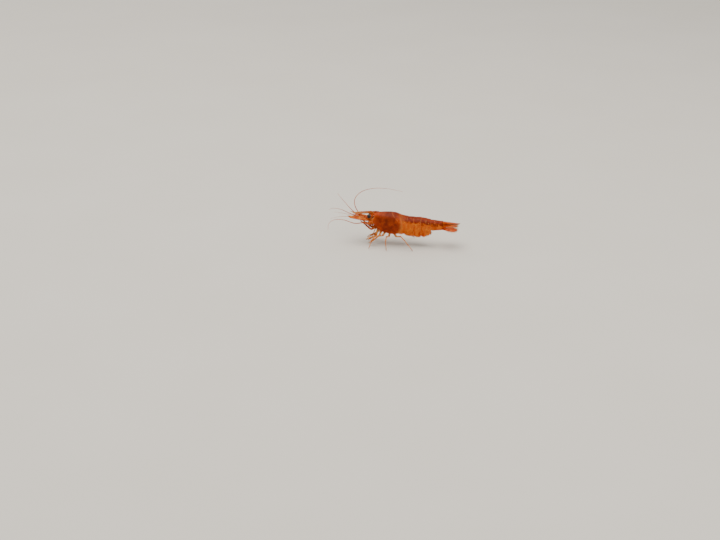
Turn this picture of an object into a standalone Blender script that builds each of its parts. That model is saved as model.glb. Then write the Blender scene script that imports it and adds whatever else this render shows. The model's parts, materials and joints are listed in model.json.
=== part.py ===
"""Red cherry shrimp, Neocaridina davidi: an adult female at life size, standing on her walking legs.

Blender 4.5, in metres, +Z up. The head points along +X and the animal's left side along +Y.
The floor is z = 0. The origin lies on it, under the middle of the model's box.

The body follows a gently bent axis. A station s is a distance in millimetres along that axis, forward
from the rear edge of the carapace: the carapace has s above 0, the abdomen and tail have s below 0.
A body point is (station, distance out to the side, height above the axis).
"""

import math

import bmesh
import bpy
from mathutils import Matrix, Vector

MM = 0.001

# Driving dimensions, in millimetres and degrees.
CARAPACE_LENGTH = 7.2
ROSTRUM_LENGTH = 5.0
SEGMENT_LENGTHS = (0.95, 1.5, 1.7, 1.25, 1.0, 2.9)
TELSON_LENGTH = 3.4
AXIS_HEIGHT = 5.35
AXIS_START_X = -1.93
GAP = 0.15
BLADE_THICKNESS = 0.5
PLATE_WALL = 0.42
EYE_RADIUS = 0.5
FEELER_RADIUS = 0.25

# Pitch of the axis in degrees at each station: the head is held up and the tail nearly level.
PITCH = ((8.0, 4.6), (0.0, 4.6), (-2.0, 2.5), (-4.5, -0.5), (-7.0, -3.0), (-12.0, -2.0))
AXIS_STEP = 0.05

# Half width, height of the back above the axis and depth of the lower rim below it, at each station.
BODY_PROFILE = (
    (7.2, 1.02, 1.40, 1.10),
    (6.6, 1.30, 1.62, 1.55),
    (5.6, 1.62, 1.88, 1.98),
    (4.4, 1.86, 2.12, 2.30),
    (3.0, 2.00, 2.28, 2.46),
    (1.6, 2.00, 2.28, 2.46),
    (0.6, 1.92, 2.10, 2.36),
    (0.0, 1.84, 1.94, 2.28),
    (-0.95, 1.78, 1.70, 2.32),
    (-2.45, 1.74, 1.72, 2.68),
    (-4.15, 1.60, 1.74, 2.65),
    (-5.4, 1.42, 1.56, 2.42),
    (-6.4, 1.20, 1.30, 1.90),
    (-6.8, 1.08, 1.18, 1.38),
    (-8.6, 0.90, 0.92, 1.26),
    (-9.3, 0.86, 0.86, 1.18),
)

SIDES = (("left", 1), ("right", -1))

# Finishes: name, linear colour, roughness.
SHELL_RED = ("shell_red", (0.36, 0.045, 0.012), 0.28)
SHELL_ORANGE = ("shell_orange", (0.52, 0.12, 0.022), 0.30)
HORN = ("rostrum_horn", (0.55, 0.20, 0.07), 0.32)
EYE_BLACK = ("eye_black", (0.008, 0.006, 0.006), 0.08)
STALK = ("stalk_clear", (0.60, 0.32, 0.16), 0.30)
FEELER = ("feeler_red", (0.50, 0.13, 0.04), 0.38)
LIMB = ("limb_clear", (0.56, 0.22, 0.08), 0.36)
FIN = ("fin_red", (0.48, 0.10, 0.03), 0.34)


def start_empty():
    for old in list(bpy.data.objects):
        bpy.data.objects.remove(old)
    collection = bpy.data.collections.new("cherry_shrimp")
    bpy.context.scene.collection.children.link(collection)
    return collection


SHRIMP = start_empty()


def finish_of(look):
    """The Principled material of a finish, made once."""
    name, colour, roughness = look
    material = bpy.data.materials.get(name)
    if material is None:
        material = bpy.data.materials.new(name)
        material.use_nodes = True
        shader = material.node_tree.nodes["Principled BSDF"]
        shader.inputs["Base Color"].default_value = (*colour, 1.0)
        shader.inputs["Roughness"].default_value = roughness
        shader.inputs["Metallic"].default_value = 0.0
    return material


def link_node(name, data, look, place=None):
    """Makes the named object of this mesh or curve, set at the matrix place."""
    data.materials.append(finish_of(look))
    node = bpy.data.objects.new(name, data)
    if place is not None:
        node.matrix_world = place
    SHRIMP.objects.link(node)
    return node


def link_solid(name, bm, look):
    """Turns a bmesh into a named object, smooth apart from its sharp rims."""
    bmesh.ops.recalc_face_normals(bm, faces=bm.faces)
    mesh = bpy.data.meshes.new(name)
    bm.to_mesh(mesh)
    bm.free()
    mesh.shade_smooth()
    mesh.set_sharp_from_angle(angle=math.radians(40))
    return link_node(name, mesh, look)


# ---------------------------------------------------------------- the body's axis


def between(table, s):
    """Reads a table of (station, values...) at station s by straight interpolation."""
    rows = sorted(table)
    s = min(max(s, rows[0][0]), rows[-1][0])
    for low, high in zip(rows, rows[1:]):
        if s <= high[0]:
            share = (s - low[0]) / (high[0] - low[0])
            return [a + (b - a) * share for a, b in zip(low[1:], high[1:])]


def pitch_at(s):
    return math.radians(between(PITCH, s)[0])


def axis_point(s):
    """The point of the axis at station s, found by walking there from the rear edge of the carapace."""
    steps = max(1, round(abs(s) / AXIS_STEP))
    point = Vector((AXIS_START_X, 0, AXIS_HEIGHT))
    for i in range(steps):
        pitch = pitch_at(s * (i + 0.5) / steps)
        point += Vector((math.cos(pitch), 0, math.sin(pitch))) * s / steps
    return point


def on_body(s, y, z):
    """A body point in world millimetres."""
    pitch = pitch_at(s)
    return axis_point(s) + Vector((0, y, 0)) + Vector((-math.sin(pitch), 0, math.cos(pitch))) * z


def all_on_body(points, sign):
    """Body points of the left side in world millimetres, mirrored to the right where sign is -1."""
    return [on_body(s, sign * y, z) for s, y, z in points]


def loft(name, rings, end_faces, look):
    """A closed solid through rings of equally many points. end_faces lists the corners of the end faces."""
    bm = bmesh.new()
    loops = [[bm.verts.new(point * MM) for point in ring] for ring in rings]
    for near, far in zip(loops, loops[1:]):
        for i in range(len(near)):
            bm.faces.new((near[i - 1], near[i], far[i], far[i - 1]))
    for loop in (loops[0], loops[-1]):
        for corners in end_faces:
            bm.faces.new([loop[i] for i in corners])
    return link_solid(name, bm, look)


# ---------------------------------------------------------------- carapace and abdomen

# One plate in section, from the middle of the back to the middle of the belly: an elliptic back, a side
# that hangs below it, its rim, and a channel between the two sides for the limbs.
BACK_STEPS = 4
SIDE_STEPS = 3
INNER_POINTS = 3
RIM_SHARE = 0.86
CARAPACE_CHANNEL = 0.45
BELLY = 0.95
BELLY_SHARE = 0.62


def belly_depth(s):
    """How far below the axis the underside lies between the plates."""
    _, _, depth = between(BODY_PROFILE, s)
    return depth - CARAPACE_CHANNEL if s > 0 else min(BELLY, BELLY_SHARE * depth)


def plate_ring(s, lean, rim_share=1.0):
    """A plate's section. Its points run forward by lean times the square of their share of the height."""
    width, top, full_depth = between(BODY_PROFILE, s)
    depth = full_depth * rim_share
    channel = min(belly_depth(s), depth - 0.1)
    rim = RIM_SHARE * width
    inner = rim - PLATE_WALL
    half = []
    for i in range(BACK_STEPS + 1):
        a = math.pi / 2 * (1 - i / BACK_STEPS)
        half.append((width * math.cos(a), top * math.sin(a)))
    for i in range(1, SIDE_STEPS + 1):
        u = i / SIDE_STEPS
        half.append((width - (width - rim) * u * u, -depth * u))
    half += [(inner, -depth), (inner, -(channel + 0.4 * (depth - channel))), (0.72 * inner, -channel)]
    ring = half + [(0, -channel)] + [(-y, z) for y, z in reversed(half[1:])]
    placed = []
    for y, z in ring:
        share = z / top if z > 0 else z / full_depth
        placed.append(on_body(s + lean[z < 0] * share * share, y, z))
    return placed


def plate_end():
    """Faces that close a plate's end: strips from side to side above the belly, then two down each side."""
    belly = BACK_STEPS + 1
    corner = BACK_STEPS + SIDE_STEPS + INNER_POINTS
    count = 2 * (corner + 1)
    faces = [(0, 1, count - 1)]
    faces += [(i, i + 1, count - i - 1, count - i) for i in range(1, belly)]
    faces.append((belly, corner, corner + 1, count - corner, count - belly))
    for step in range(SIDE_STEPS - 1):
        strip = (belly + step, belly + step + 1, corner - step - 1, corner - step)
        faces += [strip, [count - i for i in strip]]
    return faces


# How far each plate edge runs forward of its station at the middle of the back and at the lower rim.
# The second plate laps over the first and the third, so its side is the widest.
CARAPACE_FRONT = (0.0, -0.7)
CARAPACE_REAR = (0.85, 0.75)
PLATE_EDGES = (CARAPACE_REAR, (0.0, 0.55), (0.0, -0.5), (0.0, -0.45), (0.0, -0.4), (0.0, -0.1))
CARAPACE_STATIONS = (7.2, 6.9, 6.3, 5.6, 4.8, 3.9, 3.0, 2.2, 1.5, 0.9, 0.35, 0.0)
CARAPACE_EDGE_REACH = 2.4
RIM_ROUNDING = (0.12, 0.20, 0.24, 0.26, 0.30)
PLATE_RINGS = 6


def make_carapace():
    rings = []
    for s in CARAPACE_STATIONS:
        to_rear = max(0.0, 1 - s / CARAPACE_EDGE_REACH)
        to_front = max(0.0, 1 - (CARAPACE_LENGTH - s) / CARAPACE_EDGE_REACH)
        lean = [a * to_front + b * to_rear for a, b in zip(CARAPACE_FRONT, CARAPACE_REAR)]
        rings.append(plate_ring(s, lean))
    loft("carapace", rings, plate_end(), SHELL_RED)


def make_plate(number, front, rear):
    """One of the first five abdominal plates, its sides rounded off below."""
    edges = PLATE_EDGES[number - 1 : number + 1]
    rings = []
    for i in range(PLATE_RINGS):
        u = i / (PLATE_RINGS - 1)
        lean = [a + (b - a) * u for a, b in zip(*edges)]
        rim_share = 1 - RIM_ROUNDING[number - 1] * abs(2 * u - 1) ** 3
        rings.append(plate_ring(front + (rear - front) * u, lean, rim_share))
    loft(f"abdomen_{number}", rings, plate_end(), SHELL_ORANGE)


def oval_ring(s, points=16, squareness=0.85):
    width, top, depth = between(BODY_PROFILE, s)
    ring = []
    for i in range(points):
        a = 2 * math.pi * i / points
        y = width * math.copysign(abs(math.cos(a)) ** squareness, math.cos(a))
        z = (top if math.sin(a) > 0 else depth) * math.copysign(abs(math.sin(a)) ** squareness, math.sin(a))
        ring.append(on_body(s, y, z))
    return ring


def make_abdomen():
    rear = 0.0
    for number, length in enumerate(SEGMENT_LENGTHS, 1):
        front, rear = rear - GAP, rear - length
        if number < len(SEGMENT_LENGTHS):
            make_plate(number, front, rear)
        else:
            rings = [oval_ring(front + (rear - front) * i / PLATE_RINGS) for i in range(PLATE_RINGS + 1)]
            loft(f"abdomen_{number}", rings, [range(len(rings[0]))], SHELL_ORANGE)
    return rear


# ---------------------------------------------------------------- flat pieces: rostrum, scales, fins


def flat_piece(name, outline, root, along, across, look):
    """A flat outline of points (along, across) in millimetres, laid on the two directions from root."""
    data = bpy.data.curves.new(name, "CURVE")
    data.dimensions = "2D"
    data.fill_mode = "BOTH"
    data.extrude = BLADE_THICKNESS / 2 * MM
    spline = data.splines.new("POLY")
    spline.points.add(len(outline) - 1)
    for spot, (x, y) in zip(spline.points, outline):
        spot.co = (x * MM, y * MM, 0, 1)
    spline.use_cyclic_u = True
    along = Vector(along).normalized()
    across = Vector(across)
    across = (across - along * across.dot(along)).normalized()
    place = Matrix((along, across, along.cross(across))).transposed().to_4x4()
    place.translation = Vector(root) * MM
    return link_node(name, data, look, place)


def leaf_outline(length, half_width, root_share, widest=0.55, points=7):
    """The outline of a leaf that widens from its root and ends in a half ellipse."""
    edge = []
    for i in range(points):
        u = i / (points - 1)
        if u < widest:
            share = root_share + (1 - root_share) * math.sin(math.pi / 2 * u / widest)
        else:
            share = math.sqrt(1 - ((u - widest) / (1 - widest)) ** 2)
        edge.append((length * u, half_width * share))
    return edge + [(x, -y) for x, y in reversed(edge[:-1])]


POSTORBITAL = 1.6
DORSAL_TEETH = 13
VENTRAL_TEETH = 4
TOOTH_HEIGHT = 0.13
ROSTRUM_DEPTH = 0.66


def make_rostrum():
    """A toothed blade, which starts as a ridge on the carapace and runs out over the eyes."""
    start = CARAPACE_LENGTH - POSTORBITAL
    length = POSTORBITAL + ROSTRUM_LENGTH
    ridge = between(BODY_PROFILE, start)[1]

    def upper(x):
        return 0.30 - 1.30 * x / length + 0.10 * math.sin(math.pi * x / length)

    def lower(x):
        return upper(x) - ROSTRUM_DEPTH + 0.30 * ((x - POSTORBITAL) / ROSTRUM_LENGTH) ** 2

    outline = [(0, GAP), (0, upper(0))]
    tooth = (length - 0.5) / DORSAL_TEETH
    for i in range(DORSAL_TEETH):
        x = tooth * (i + 1)
        outline += [(x, upper(x) + TOOTH_HEIGHT / 2), (x + 0.03, upper(x) - TOOTH_HEIGHT / 2)]
    outline.append((length, upper(length) - 0.15))
    for i in range(VENTRAL_TEETH):
        x = length - 0.6 - 0.45 * i
        outline += [(x + 0.03, lower(x) - TOOTH_HEIGHT / 2), (x - 0.04, lower(x) + TOOTH_HEIGHT / 3)]
    for x in (POSTORBITAL + 1.3, POSTORBITAL + GAP):
        outline.append((x, lower(x)))
    for s in (CARAPACE_LENGTH + GAP, CARAPACE_LENGTH - 0.6, CARAPACE_LENGTH - 1.2):
        outline.append((s - start, between(BODY_PROFILE, s)[1] - ridge + GAP))
    pitch = pitch_at(CARAPACE_LENGTH)
    along = Vector((math.cos(pitch), 0, math.sin(pitch)))
    up = Vector((-math.sin(pitch), 0, math.cos(pitch)))
    flat_piece("rostrum", outline, on_body(start, 0, ridge), along, up, HORN)


UROPODS = (
    # name, length, half width, root share, splay, droop and roll in degrees, root distance out, root height
    ("inner", 3.35, 0.44, 0.5, 5, 0, 20, 0.48, -0.26),
    ("outer", 3.5, 0.56, 0.36, 19, -2, 36, 1.22, -0.82),
)
TELSON_EDGE = ((0, 0.5), (0.3, 0.5), (0.65, 0.4), (0.9, 0.28), (1.0, 0.1))


def make_tail_fan(rear):
    pitch = pitch_at(rear)
    back = Vector((-math.cos(pitch), 0, -math.sin(pitch)))
    edge = [(TELSON_LENGTH * u, half) for u, half in TELSON_EDGE]
    outline = edge + [(x, -y) for x, y in reversed(edge)]
    flat_piece("telson", outline, on_body(rear - GAP, 0, 0.42), back, (0, 1, 0), FIN)
    for name, length, half_width, root_share, splay, droop, roll, out, height in UROPODS:
        splay, droop, roll = (math.tan(math.radians(angle)) for angle in (splay, droop, roll))
        for side, sign in SIDES:
            along = back + Vector((0, sign * splay, -droop))
            outline = leaf_outline(length, half_width, root_share)
            root = on_body(rear - GAP, sign * out, height)
            flat_piece(f"uropod_{name}_{side}", outline, root, along, (0, 1, -sign * roll), FIN)


# Swimmerets: station, distance out, length and backward sweep in degrees.
PLEOPODS = (
    (-0.50, 0.60, 1.7, 14),
    (-1.70, 0.58, 1.9, 16),
    (-3.20, 0.54, 1.85, 18),
    (-4.65, 0.44, 1.6, 20),
    (-5.75, 0.33, 1.2, 22),
)
PLEOPOD_HALF_WIDTH = 0.46


def make_pleopods():
    for number, (s, out, length, sweep) in enumerate(PLEOPODS, 1):
        for side, sign in SIDES:
            turn = math.radians(sweep + 4 * sign) - pitch_at(s)
            along = Vector((-math.sin(turn), 0, -math.cos(turn)))
            clear = GAP + PLEOPOD_HALF_WIDTH * abs(math.sin(turn)) + 0.1
            root = on_body(s, sign * out, -belly_depth(s) - clear)
            outline = leaf_outline(length, PLEOPOD_HALF_WIDTH, 0.6)
            flat_piece(f"pleopod_{number}_{side}", outline, root, along, (1, 0, 0), LIMB)


# ---------------------------------------------------------------- round limbs and feelers


def tube(name, points, radii, look):
    """A round limb through the points, with a radius at each, in millimetres."""
    data = bpy.data.curves.new(name, "CURVE")
    data.dimensions = "3D"
    data.bevel_depth = MM
    data.bevel_resolution = 2
    data.use_fill_caps = True
    spline = data.splines.new("POLY")
    spline.points.add(len(points) - 1)
    for spot, point, radius in zip(spline.points, points, radii):
        spot.co = (*(point * MM), 1)
        spot.radius = radius
    return link_node(name, data, look)


def limb(name, joints, radii, look):
    """Straight segments between joints. Each is a little thinner at its ends."""
    points, widths = [joints[0]], [radii[0]]
    for a, b, radius in zip(joints, joints[1:], radii):
        points += [a.lerp(b, 0.25), a.lerp(b, 0.8), b]
        widths += [radius, radius, 0.94 * radius]
    return tube(name, points, widths, look)


def smooth_path(knots, per_span):
    """Points of a Catmull-Rom curve through the knots, per_span to each stretch."""
    ends = [2 * knots[0] - knots[1], *knots, 2 * knots[-1] - knots[-2]]
    path = []
    for a, b, c, d in zip(ends, ends[1:], ends[2:], ends[3:]):
        for i in range(per_span):
            t = i / per_span
            bend = (2 * a - 5 * b + 4 * c - d) * t * t + (3 * b - a - 3 * c + d) * t**3
            path.append(b + 0.5 * ((c - a) * t + bend))
    return [*path, knots[-1]]


# Legs of the left side: the hip as (station, distance out), then the joints as (forward of the carapace's
# rear edge, out, above the floor), then each segment's radius. Walking legs end in a foot on the floor.
HIP_DROP = 0.46
FOOT = 0.3
CLAWS = (
    ("claw_1", (5.6, 0.60), ((6.10, 1.10, 2.35), (6.75, 1.35, 1.9), (7.40, 1.15, 1.6), (8.20, 0.90, 1.2)),
     (0.27, 0.27, 0.27, 0.30)),
    ("claw_2", (4.7, 0.70), ((5.30, 1.75, 2.50), (5.95, 2.30, 2.1), (6.65, 2.2, 1.5), (7.45, 1.95, 0.80)),
     (0.27, 0.26, 0.25, 0.29)),
)
WALKING_RADII = (0.28, 0.27, 0.26, 0.25, 0.25)
WALKING_LEGS = (
    ("leg_3", (3.8, 0.75), ((4.5, 1.9, 2.60), (6.0, 3.1, 2.85), (6.75, 3.75, 2.0), (7.3, 4.25, FOOT)), 0.45),
    ("leg_4", (2.8, 0.75), ((2.95, 2.0, 2.60), (3.35, 3.6, 3.0), (3.45, 4.4, 2.1), (3.2, 4.95, FOOT)), -0.55),
    ("leg_5", (1.8, 0.75), ((1.25, 2.0, 2.60), (0.1, 3.3, 3.15), (-0.9, 3.85, 2.4), (-2.75, 4.3, FOOT)), 0.6),
)


def hip_of(place, sign):
    s, out = place
    return on_body(s, sign * out, -belly_depth(s) - GAP - HIP_DROP)


def joints_of(places, sign, stride=0.0):
    """A leg's joints in world millimetres. stride moves the foot forward, and each joint by its share."""
    last = len(places) - 1
    return [
        Vector((AXIS_START_X + x + stride * i / last, sign * y, z)) for i, (x, y, z) in enumerate(places)
    ]


def make_legs():
    for side, sign in SIDES:
        for name, hip, places, radii in CLAWS:
            limb(f"{name}_{side}", [hip_of(hip, sign), *joints_of(places, sign)], radii, LIMB)
        for name, hip, places, stride in WALKING_LEGS:
            joints = joints_of(places, sign, stride if side == "right" else 0.0)
            sole = Vector((joints[-1].x, joints[-1].y, 0))
            limb(f"{name}_{side}", [hip_of(hip, sign), *joints, sole], WALKING_RADII, LIMB)


# Body points of the head's limbs on the left side.
EYE = (7.85, 1.12, 0.95)
STALK_ROOT = (7.52, 0.42, 0.88)
ANTENNULE = ((7.42, 0.46, 0.08), (9.1, 0.52, 0.22), (10.4, 0.56, 0.34), (11.3, 0.6, 0.42))
ANTENNULE_OUTER = ((11.5, 0.92, 0.62), (12.9, 1.6, 1.4), (14.4, 2.7, 2.3), (15.8, 4.2, 2.9), (16.6, 5.8, 3.1))
ANTENNULE_INNER = ((11.5, 0.56, 0.10), (13.1, 0.8, 0.0), (14.9, 1.4, -0.1), (16.6, 2.3, -0.45))
SCALE_ROOT = (7.75, 1.34, 0.0)
SCALE_TIP = (12.7, 1.80, 0.45)
ANTENNA_BASE = ((7.36, 1.12, -0.84), (8.15, 1.36, -0.72), (8.75, 1.56, -0.62))
ANTENNA = {
    "left": ((8.9, 1.62, -0.62), (10.9, 2.85, -0.6), (13.2, 4.0, 0.3), (15.1, 5.6, 0.7), (16.1, 7.6, 0.3),
             (15.9, 9.36, -0.5)),
    "right": ((8.9, 1.62, -0.62), (10.5, 3.0, -0.45), (12.0, 3.9, 1.2), (12.2, 5.2, 2.7), (10.8, 6.7, 4.0),
              (8.2, 8.0, 4.6), (5.0, 8.8, 4.6), (1.6, 9.2, 4.2)),
}
MAXILLIPED = ((6.35, 0.52, -2.10), (7.2, 0.76, -2.36), (8.5, 0.66, -1.48), (9.9, 0.50, -0.62))
MOUTH = (7.0, 0, -1.45)
MOUTH_HALF_SIZE = (0.55, 0.5, 0.32)


def make_head_limbs():
    for side, sign in SIDES:
        eye, root = all_on_body((EYE, STALK_ROOT), sign)
        neck = eye + (root - eye).normalized() * (EYE_RADIUS + GAP / 2)
        tube(f"eyestalk_{side}", [root, neck], [0.26, 0.34], STALK)
        ball = bmesh.new()
        place = Matrix.Translation(eye * MM)
        bmesh.ops.create_uvsphere(ball, u_segments=16, v_segments=10, radius=EYE_RADIUS * MM, matrix=place)
        link_solid(f"eye_{side}", ball, EYE_BLACK)

        limb(f"antennule_{side}", all_on_body(ANTENNULE, sign), (0.38, 0.30, 0.27), FEELER)
        limb(f"antenna_base_{side}", all_on_body(ANTENNA_BASE, sign), (0.38, 0.29), FEELER)
        for name, knots in (("antennule_outer", ANTENNULE_OUTER), ("antennule_inner", ANTENNULE_INNER)):
            path = smooth_path(all_on_body(knots, sign), 3)
            tube(f"{name}_{side}", path, [FEELER_RADIUS] * len(path), FEELER)

        path = smooth_path(all_on_body(ANTENNA[side], sign), 4)
        half = len(path) // 2
        far = path[half:]
        far[0] = far[0] + (far[1] - far[0]).normalized() * GAP
        for name, part in (("antenna_near", path[: half + 1]), ("antenna_far", far)):
            tube(f"{name}_{side}", part, [FEELER_RADIUS] * len(part), FEELER)

        root, tip = all_on_body((SCALE_ROOT, SCALE_TIP), sign)
        outline = leaf_outline((tip - root).length, 0.52, 0.6, widest=0.45)
        flat_piece(f"antennal_scale_{side}", outline, root, tip - root, (0, sign, -0.55), FEELER)
        limb(f"maxilliped_{side}", all_on_body(MAXILLIPED, sign), (0.27, 0.26, 0.25), LIMB)


def make_mouthparts():
    """The packed mouthparts under the head."""
    bm = bmesh.new()
    size = Matrix.Diagonal((*MOUTH_HALF_SIZE, 1))
    place = Matrix.Translation(on_body(*MOUTH) * MM) @ Matrix.Rotation(math.radians(-30), 4, "Y") @ size
    bmesh.ops.create_uvsphere(bm, u_segments=12, v_segments=8, radius=MM, matrix=place)
    link_solid("mouthparts", bm, LIMB)


make_carapace()
make_rostrum()
make_head_limbs()
make_mouthparts()
make_legs()
make_tail_fan(make_abdomen())
make_pleopods()
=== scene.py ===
import json
import math

import bpy
import numpy as np
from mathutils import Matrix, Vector

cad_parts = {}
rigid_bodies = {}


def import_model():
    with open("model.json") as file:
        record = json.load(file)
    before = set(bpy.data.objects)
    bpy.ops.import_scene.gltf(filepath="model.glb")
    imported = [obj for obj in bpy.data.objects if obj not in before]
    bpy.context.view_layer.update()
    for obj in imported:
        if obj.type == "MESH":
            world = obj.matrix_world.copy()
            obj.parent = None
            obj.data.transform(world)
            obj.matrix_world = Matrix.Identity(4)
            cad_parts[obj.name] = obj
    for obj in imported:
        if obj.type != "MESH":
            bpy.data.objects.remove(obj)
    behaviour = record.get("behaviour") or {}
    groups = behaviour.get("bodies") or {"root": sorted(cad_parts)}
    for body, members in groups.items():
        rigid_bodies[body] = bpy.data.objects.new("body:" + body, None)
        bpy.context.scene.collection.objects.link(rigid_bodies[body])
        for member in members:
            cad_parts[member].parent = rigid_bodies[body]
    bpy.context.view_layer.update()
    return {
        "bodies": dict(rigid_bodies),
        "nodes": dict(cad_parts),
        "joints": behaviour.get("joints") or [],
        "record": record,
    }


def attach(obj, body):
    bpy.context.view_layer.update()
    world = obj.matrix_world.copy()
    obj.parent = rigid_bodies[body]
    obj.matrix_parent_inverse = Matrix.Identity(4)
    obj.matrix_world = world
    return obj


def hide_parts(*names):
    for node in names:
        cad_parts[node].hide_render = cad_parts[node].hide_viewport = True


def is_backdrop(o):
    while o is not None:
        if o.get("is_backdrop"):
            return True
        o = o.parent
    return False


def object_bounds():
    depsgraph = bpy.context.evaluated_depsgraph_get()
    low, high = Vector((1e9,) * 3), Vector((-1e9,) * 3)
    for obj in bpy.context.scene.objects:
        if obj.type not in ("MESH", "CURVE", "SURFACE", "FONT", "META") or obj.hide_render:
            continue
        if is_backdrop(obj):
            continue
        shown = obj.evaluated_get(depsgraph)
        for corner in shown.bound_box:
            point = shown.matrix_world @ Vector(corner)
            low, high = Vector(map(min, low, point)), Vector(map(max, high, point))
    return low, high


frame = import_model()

# A red cherry shrimp, Neocaridina davidi, at life size: an adult female standing on her walking legs.
# Metres, +Z up, head along +X, the animal's left side along +Y, the floor at z = 0.
# Sizes are given in millimetres and times MM.
MM = 0.001


# ---------------------------------------------------------------- camera
# The view into an aquarium from a little above: the animal's left flank, its head to the viewer's left.
# The frame takes in 166 mm at the animal's distance and is aimed left of the body and below it, so she
# is small in it, above its middle and a little to the right.
VIEW_WIDTH = 166 * MM
VIEW_DISTANCE = 350 * MM
VIEW_TURN = math.radians(189)
VIEW_RISE = math.radians(22)
BODY_MIDDLE = Vector((-1.6, 0, 5.0)) * MM
LEFT_OF_BODY = 9.6 * MM
BELOW_BODY = 10.6 * MM

towards_viewer = Vector((
    math.sin(VIEW_TURN) * math.cos(VIEW_RISE),
    -math.cos(VIEW_TURN) * math.cos(VIEW_RISE),
    math.sin(VIEW_RISE),
))
facing = towards_viewer.to_track_quat("Z", "Y")
aim = BODY_MIDDLE - facing @ Vector((LEFT_OF_BODY, BELOW_BODY, 0))
bpy.ops.object.camera_add(location=aim + towards_viewer * VIEW_DISTANCE, rotation=facing.to_euler())
camera = bpy.context.object
camera.name = "camera"
camera.data.lens = camera.data.sensor_width * VIEW_DISTANCE / VIEW_WIDTH
camera.data.clip_start = 10 * MM
camera.data.dof.use_dof = False
bpy.context.scene.camera = camera


# ---------------------------------------------------------------- light
# Soft, slightly warm studio light that falls mostly from above, as a tank's lamp does, with weaker fills
# from the viewer's side and from behind, and a pale surround.
LAMP_TINT = (1.0, 0.95, 0.88)
LAMPS = (
    # name, place, watts, side of the square panel
    ("overhead_panel", (0.02, 0.04, 0.42), 2.7, 0.44),
    ("side_panel", (-0.34, 0.34, 0.26), 1.1, 0.45),
    ("back_panel", (0.30, -0.30, 0.30), 0.7, 0.30),
)
for name, place, watts, side in LAMPS:
    bpy.ops.object.light_add(type="AREA", location=place)
    lamp = bpy.context.object
    lamp.name = name
    lamp.rotation_euler = Vector(place).to_track_quat("Z", "Y").to_euler()
    lamp.data.color = LAMP_TINT
    lamp.data.energy = watts
    lamp.data.size = side

SURROUND_TINT = (1.0, 0.98, 0.95, 1)
SURROUND_STRENGTH = 0.55
surround = bpy.data.worlds.new("surround")
surround.use_nodes = True
background = surround.node_tree.nodes["Background"]
background.inputs["Color"].default_value = SURROUND_TINT
background.inputs["Strength"].default_value = SURROUND_STRENGTH
bpy.context.scene.world = surround


# ---------------------------------------------------------------- floor
# A plain pale table top, a matt laminate slightly uneven in tone. It lies level under her feet and isn't
# part of the object.
FLOOR_SIDE = 1200 * MM


def colour(code):
    """A sRGB hex colour, such as "8a2f10", as linear red, green, blue and alpha."""
    parts = [int(code[i : i + 2], 16) / 255 for i in (0, 2, 4)]
    return (*[p / 12.92 if p <= 0.04045 else ((p + 0.055) / 1.055) ** 2.4 for p in parts], 1.0)


def set_inputs(node, inputs):
    """Gives a node's sockets, by name or number, a value, a hex colour or the output that feeds them.

    A plain row of these fills the sockets from the first on. MapRange's are the value, the two ends of
    the range it is read on and the two ends of the range it is turned to."""
    pairs = inputs.items() if isinstance(inputs, dict) else enumerate(inputs)
    for key, value in pairs:
        if isinstance(value, bpy.types.NodeSocket):
            node.id_data.links.new(value, node.inputs[key])
        else:
            node.inputs[key].default_value = colour(value) if isinstance(value, str) else value


def start_material(name, values):
    """A new Principled material with these values: the material, its node tree and its shader."""
    material = bpy.data.materials.new(name)
    material.use_nodes = True
    shader = material.node_tree.nodes["Principled BSDF"]
    set_inputs(shader, values)
    return material, material.node_tree, shader


def add_node(tree, kind, inputs=(), output=0, stops=(), **settings):
    """Adds a shader node with its settings and links, and gives the output asked for by name or number.

    stops are a colour ramp's, each a place and a hex colour."""
    node = tree.nodes.new("ShaderNode" + kind)
    for key, value in settings.items():
        setattr(node, key, value)
    set_inputs(node, inputs)
    for k, (place, code) in enumerate(stops):
        stop = node.color_ramp.elements[k] if k < 2 else node.color_ramp.elements.new(1.0)
        stop.position, stop.color = place, colour(code)
    return node.outputs[output]


# Matt laminate: a warm pale grey that shifts a little over centimetres.
laminate, tree, shader = start_material("pale_laminate", {"Roughness": 0.75, "Specular IOR Level": 0.3})
place = add_node(tree, "TexCoord", output="Object")
cloud = add_node(tree, "TexNoise", {"Vector": place, "Scale": 1 / (30 * MM), "Detail": 3.0})
tone = add_node(tree, "Mix", {0: cloud, 6: "c9c5bd", 7: "cfccc5"}, 2, data_type="RGBA")
set_inputs(shader, {"Base Color": tone})

bpy.ops.mesh.primitive_plane_add(size=FLOOR_SIDE, location=(0, 0, 0))
floor = bpy.context.object
floor.name = "floor"
floor.data.materials.append(laminate)
floor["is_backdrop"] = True


# ---------------------------------------------------------------- carapace
# The one shield over head and thorax: a thin, smooth, slightly see-through shell of chitin, open
# below, where it ends in a free rim on each side. It is swept along the body's axis, then given its
# orbits, its corner spines and a wall. Pigment cells under the shell mottle it cherry red.

# The body's axis bends a little: pitch in degrees at stations in millimetres ahead of the carapace's
# rear edge, which stands at AXIS_START, an x and a z.
AXIS_START = (-1.93, 5.35)
PITCH_STATIONS = (-12.0, -7.0, -4.5, -2.0, 0.0, 8.0)
PITCH_DEGREES = (-2.0, -3.0, -0.5, 2.5, 4.6, 4.6)
AXIS_STEP = 0.05
stations = np.arange(-16, 20, AXIS_STEP)
pitches = np.radians(np.interp(stations + AXIS_STEP / 2, PITCH_STATIONS, PITCH_DEGREES))
walk_x = np.concatenate(([0], np.cumsum(np.cos(pitches) * AXIS_STEP)))[:-1]
walk_z = np.concatenate(([0], np.cumsum(np.sin(pitches) * AXIS_STEP)))[:-1]
walk_x += AXIS_START[0] - np.interp(0, stations, walk_x)
walk_z += AXIS_START[1] - np.interp(0, stations, walk_z)

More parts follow.
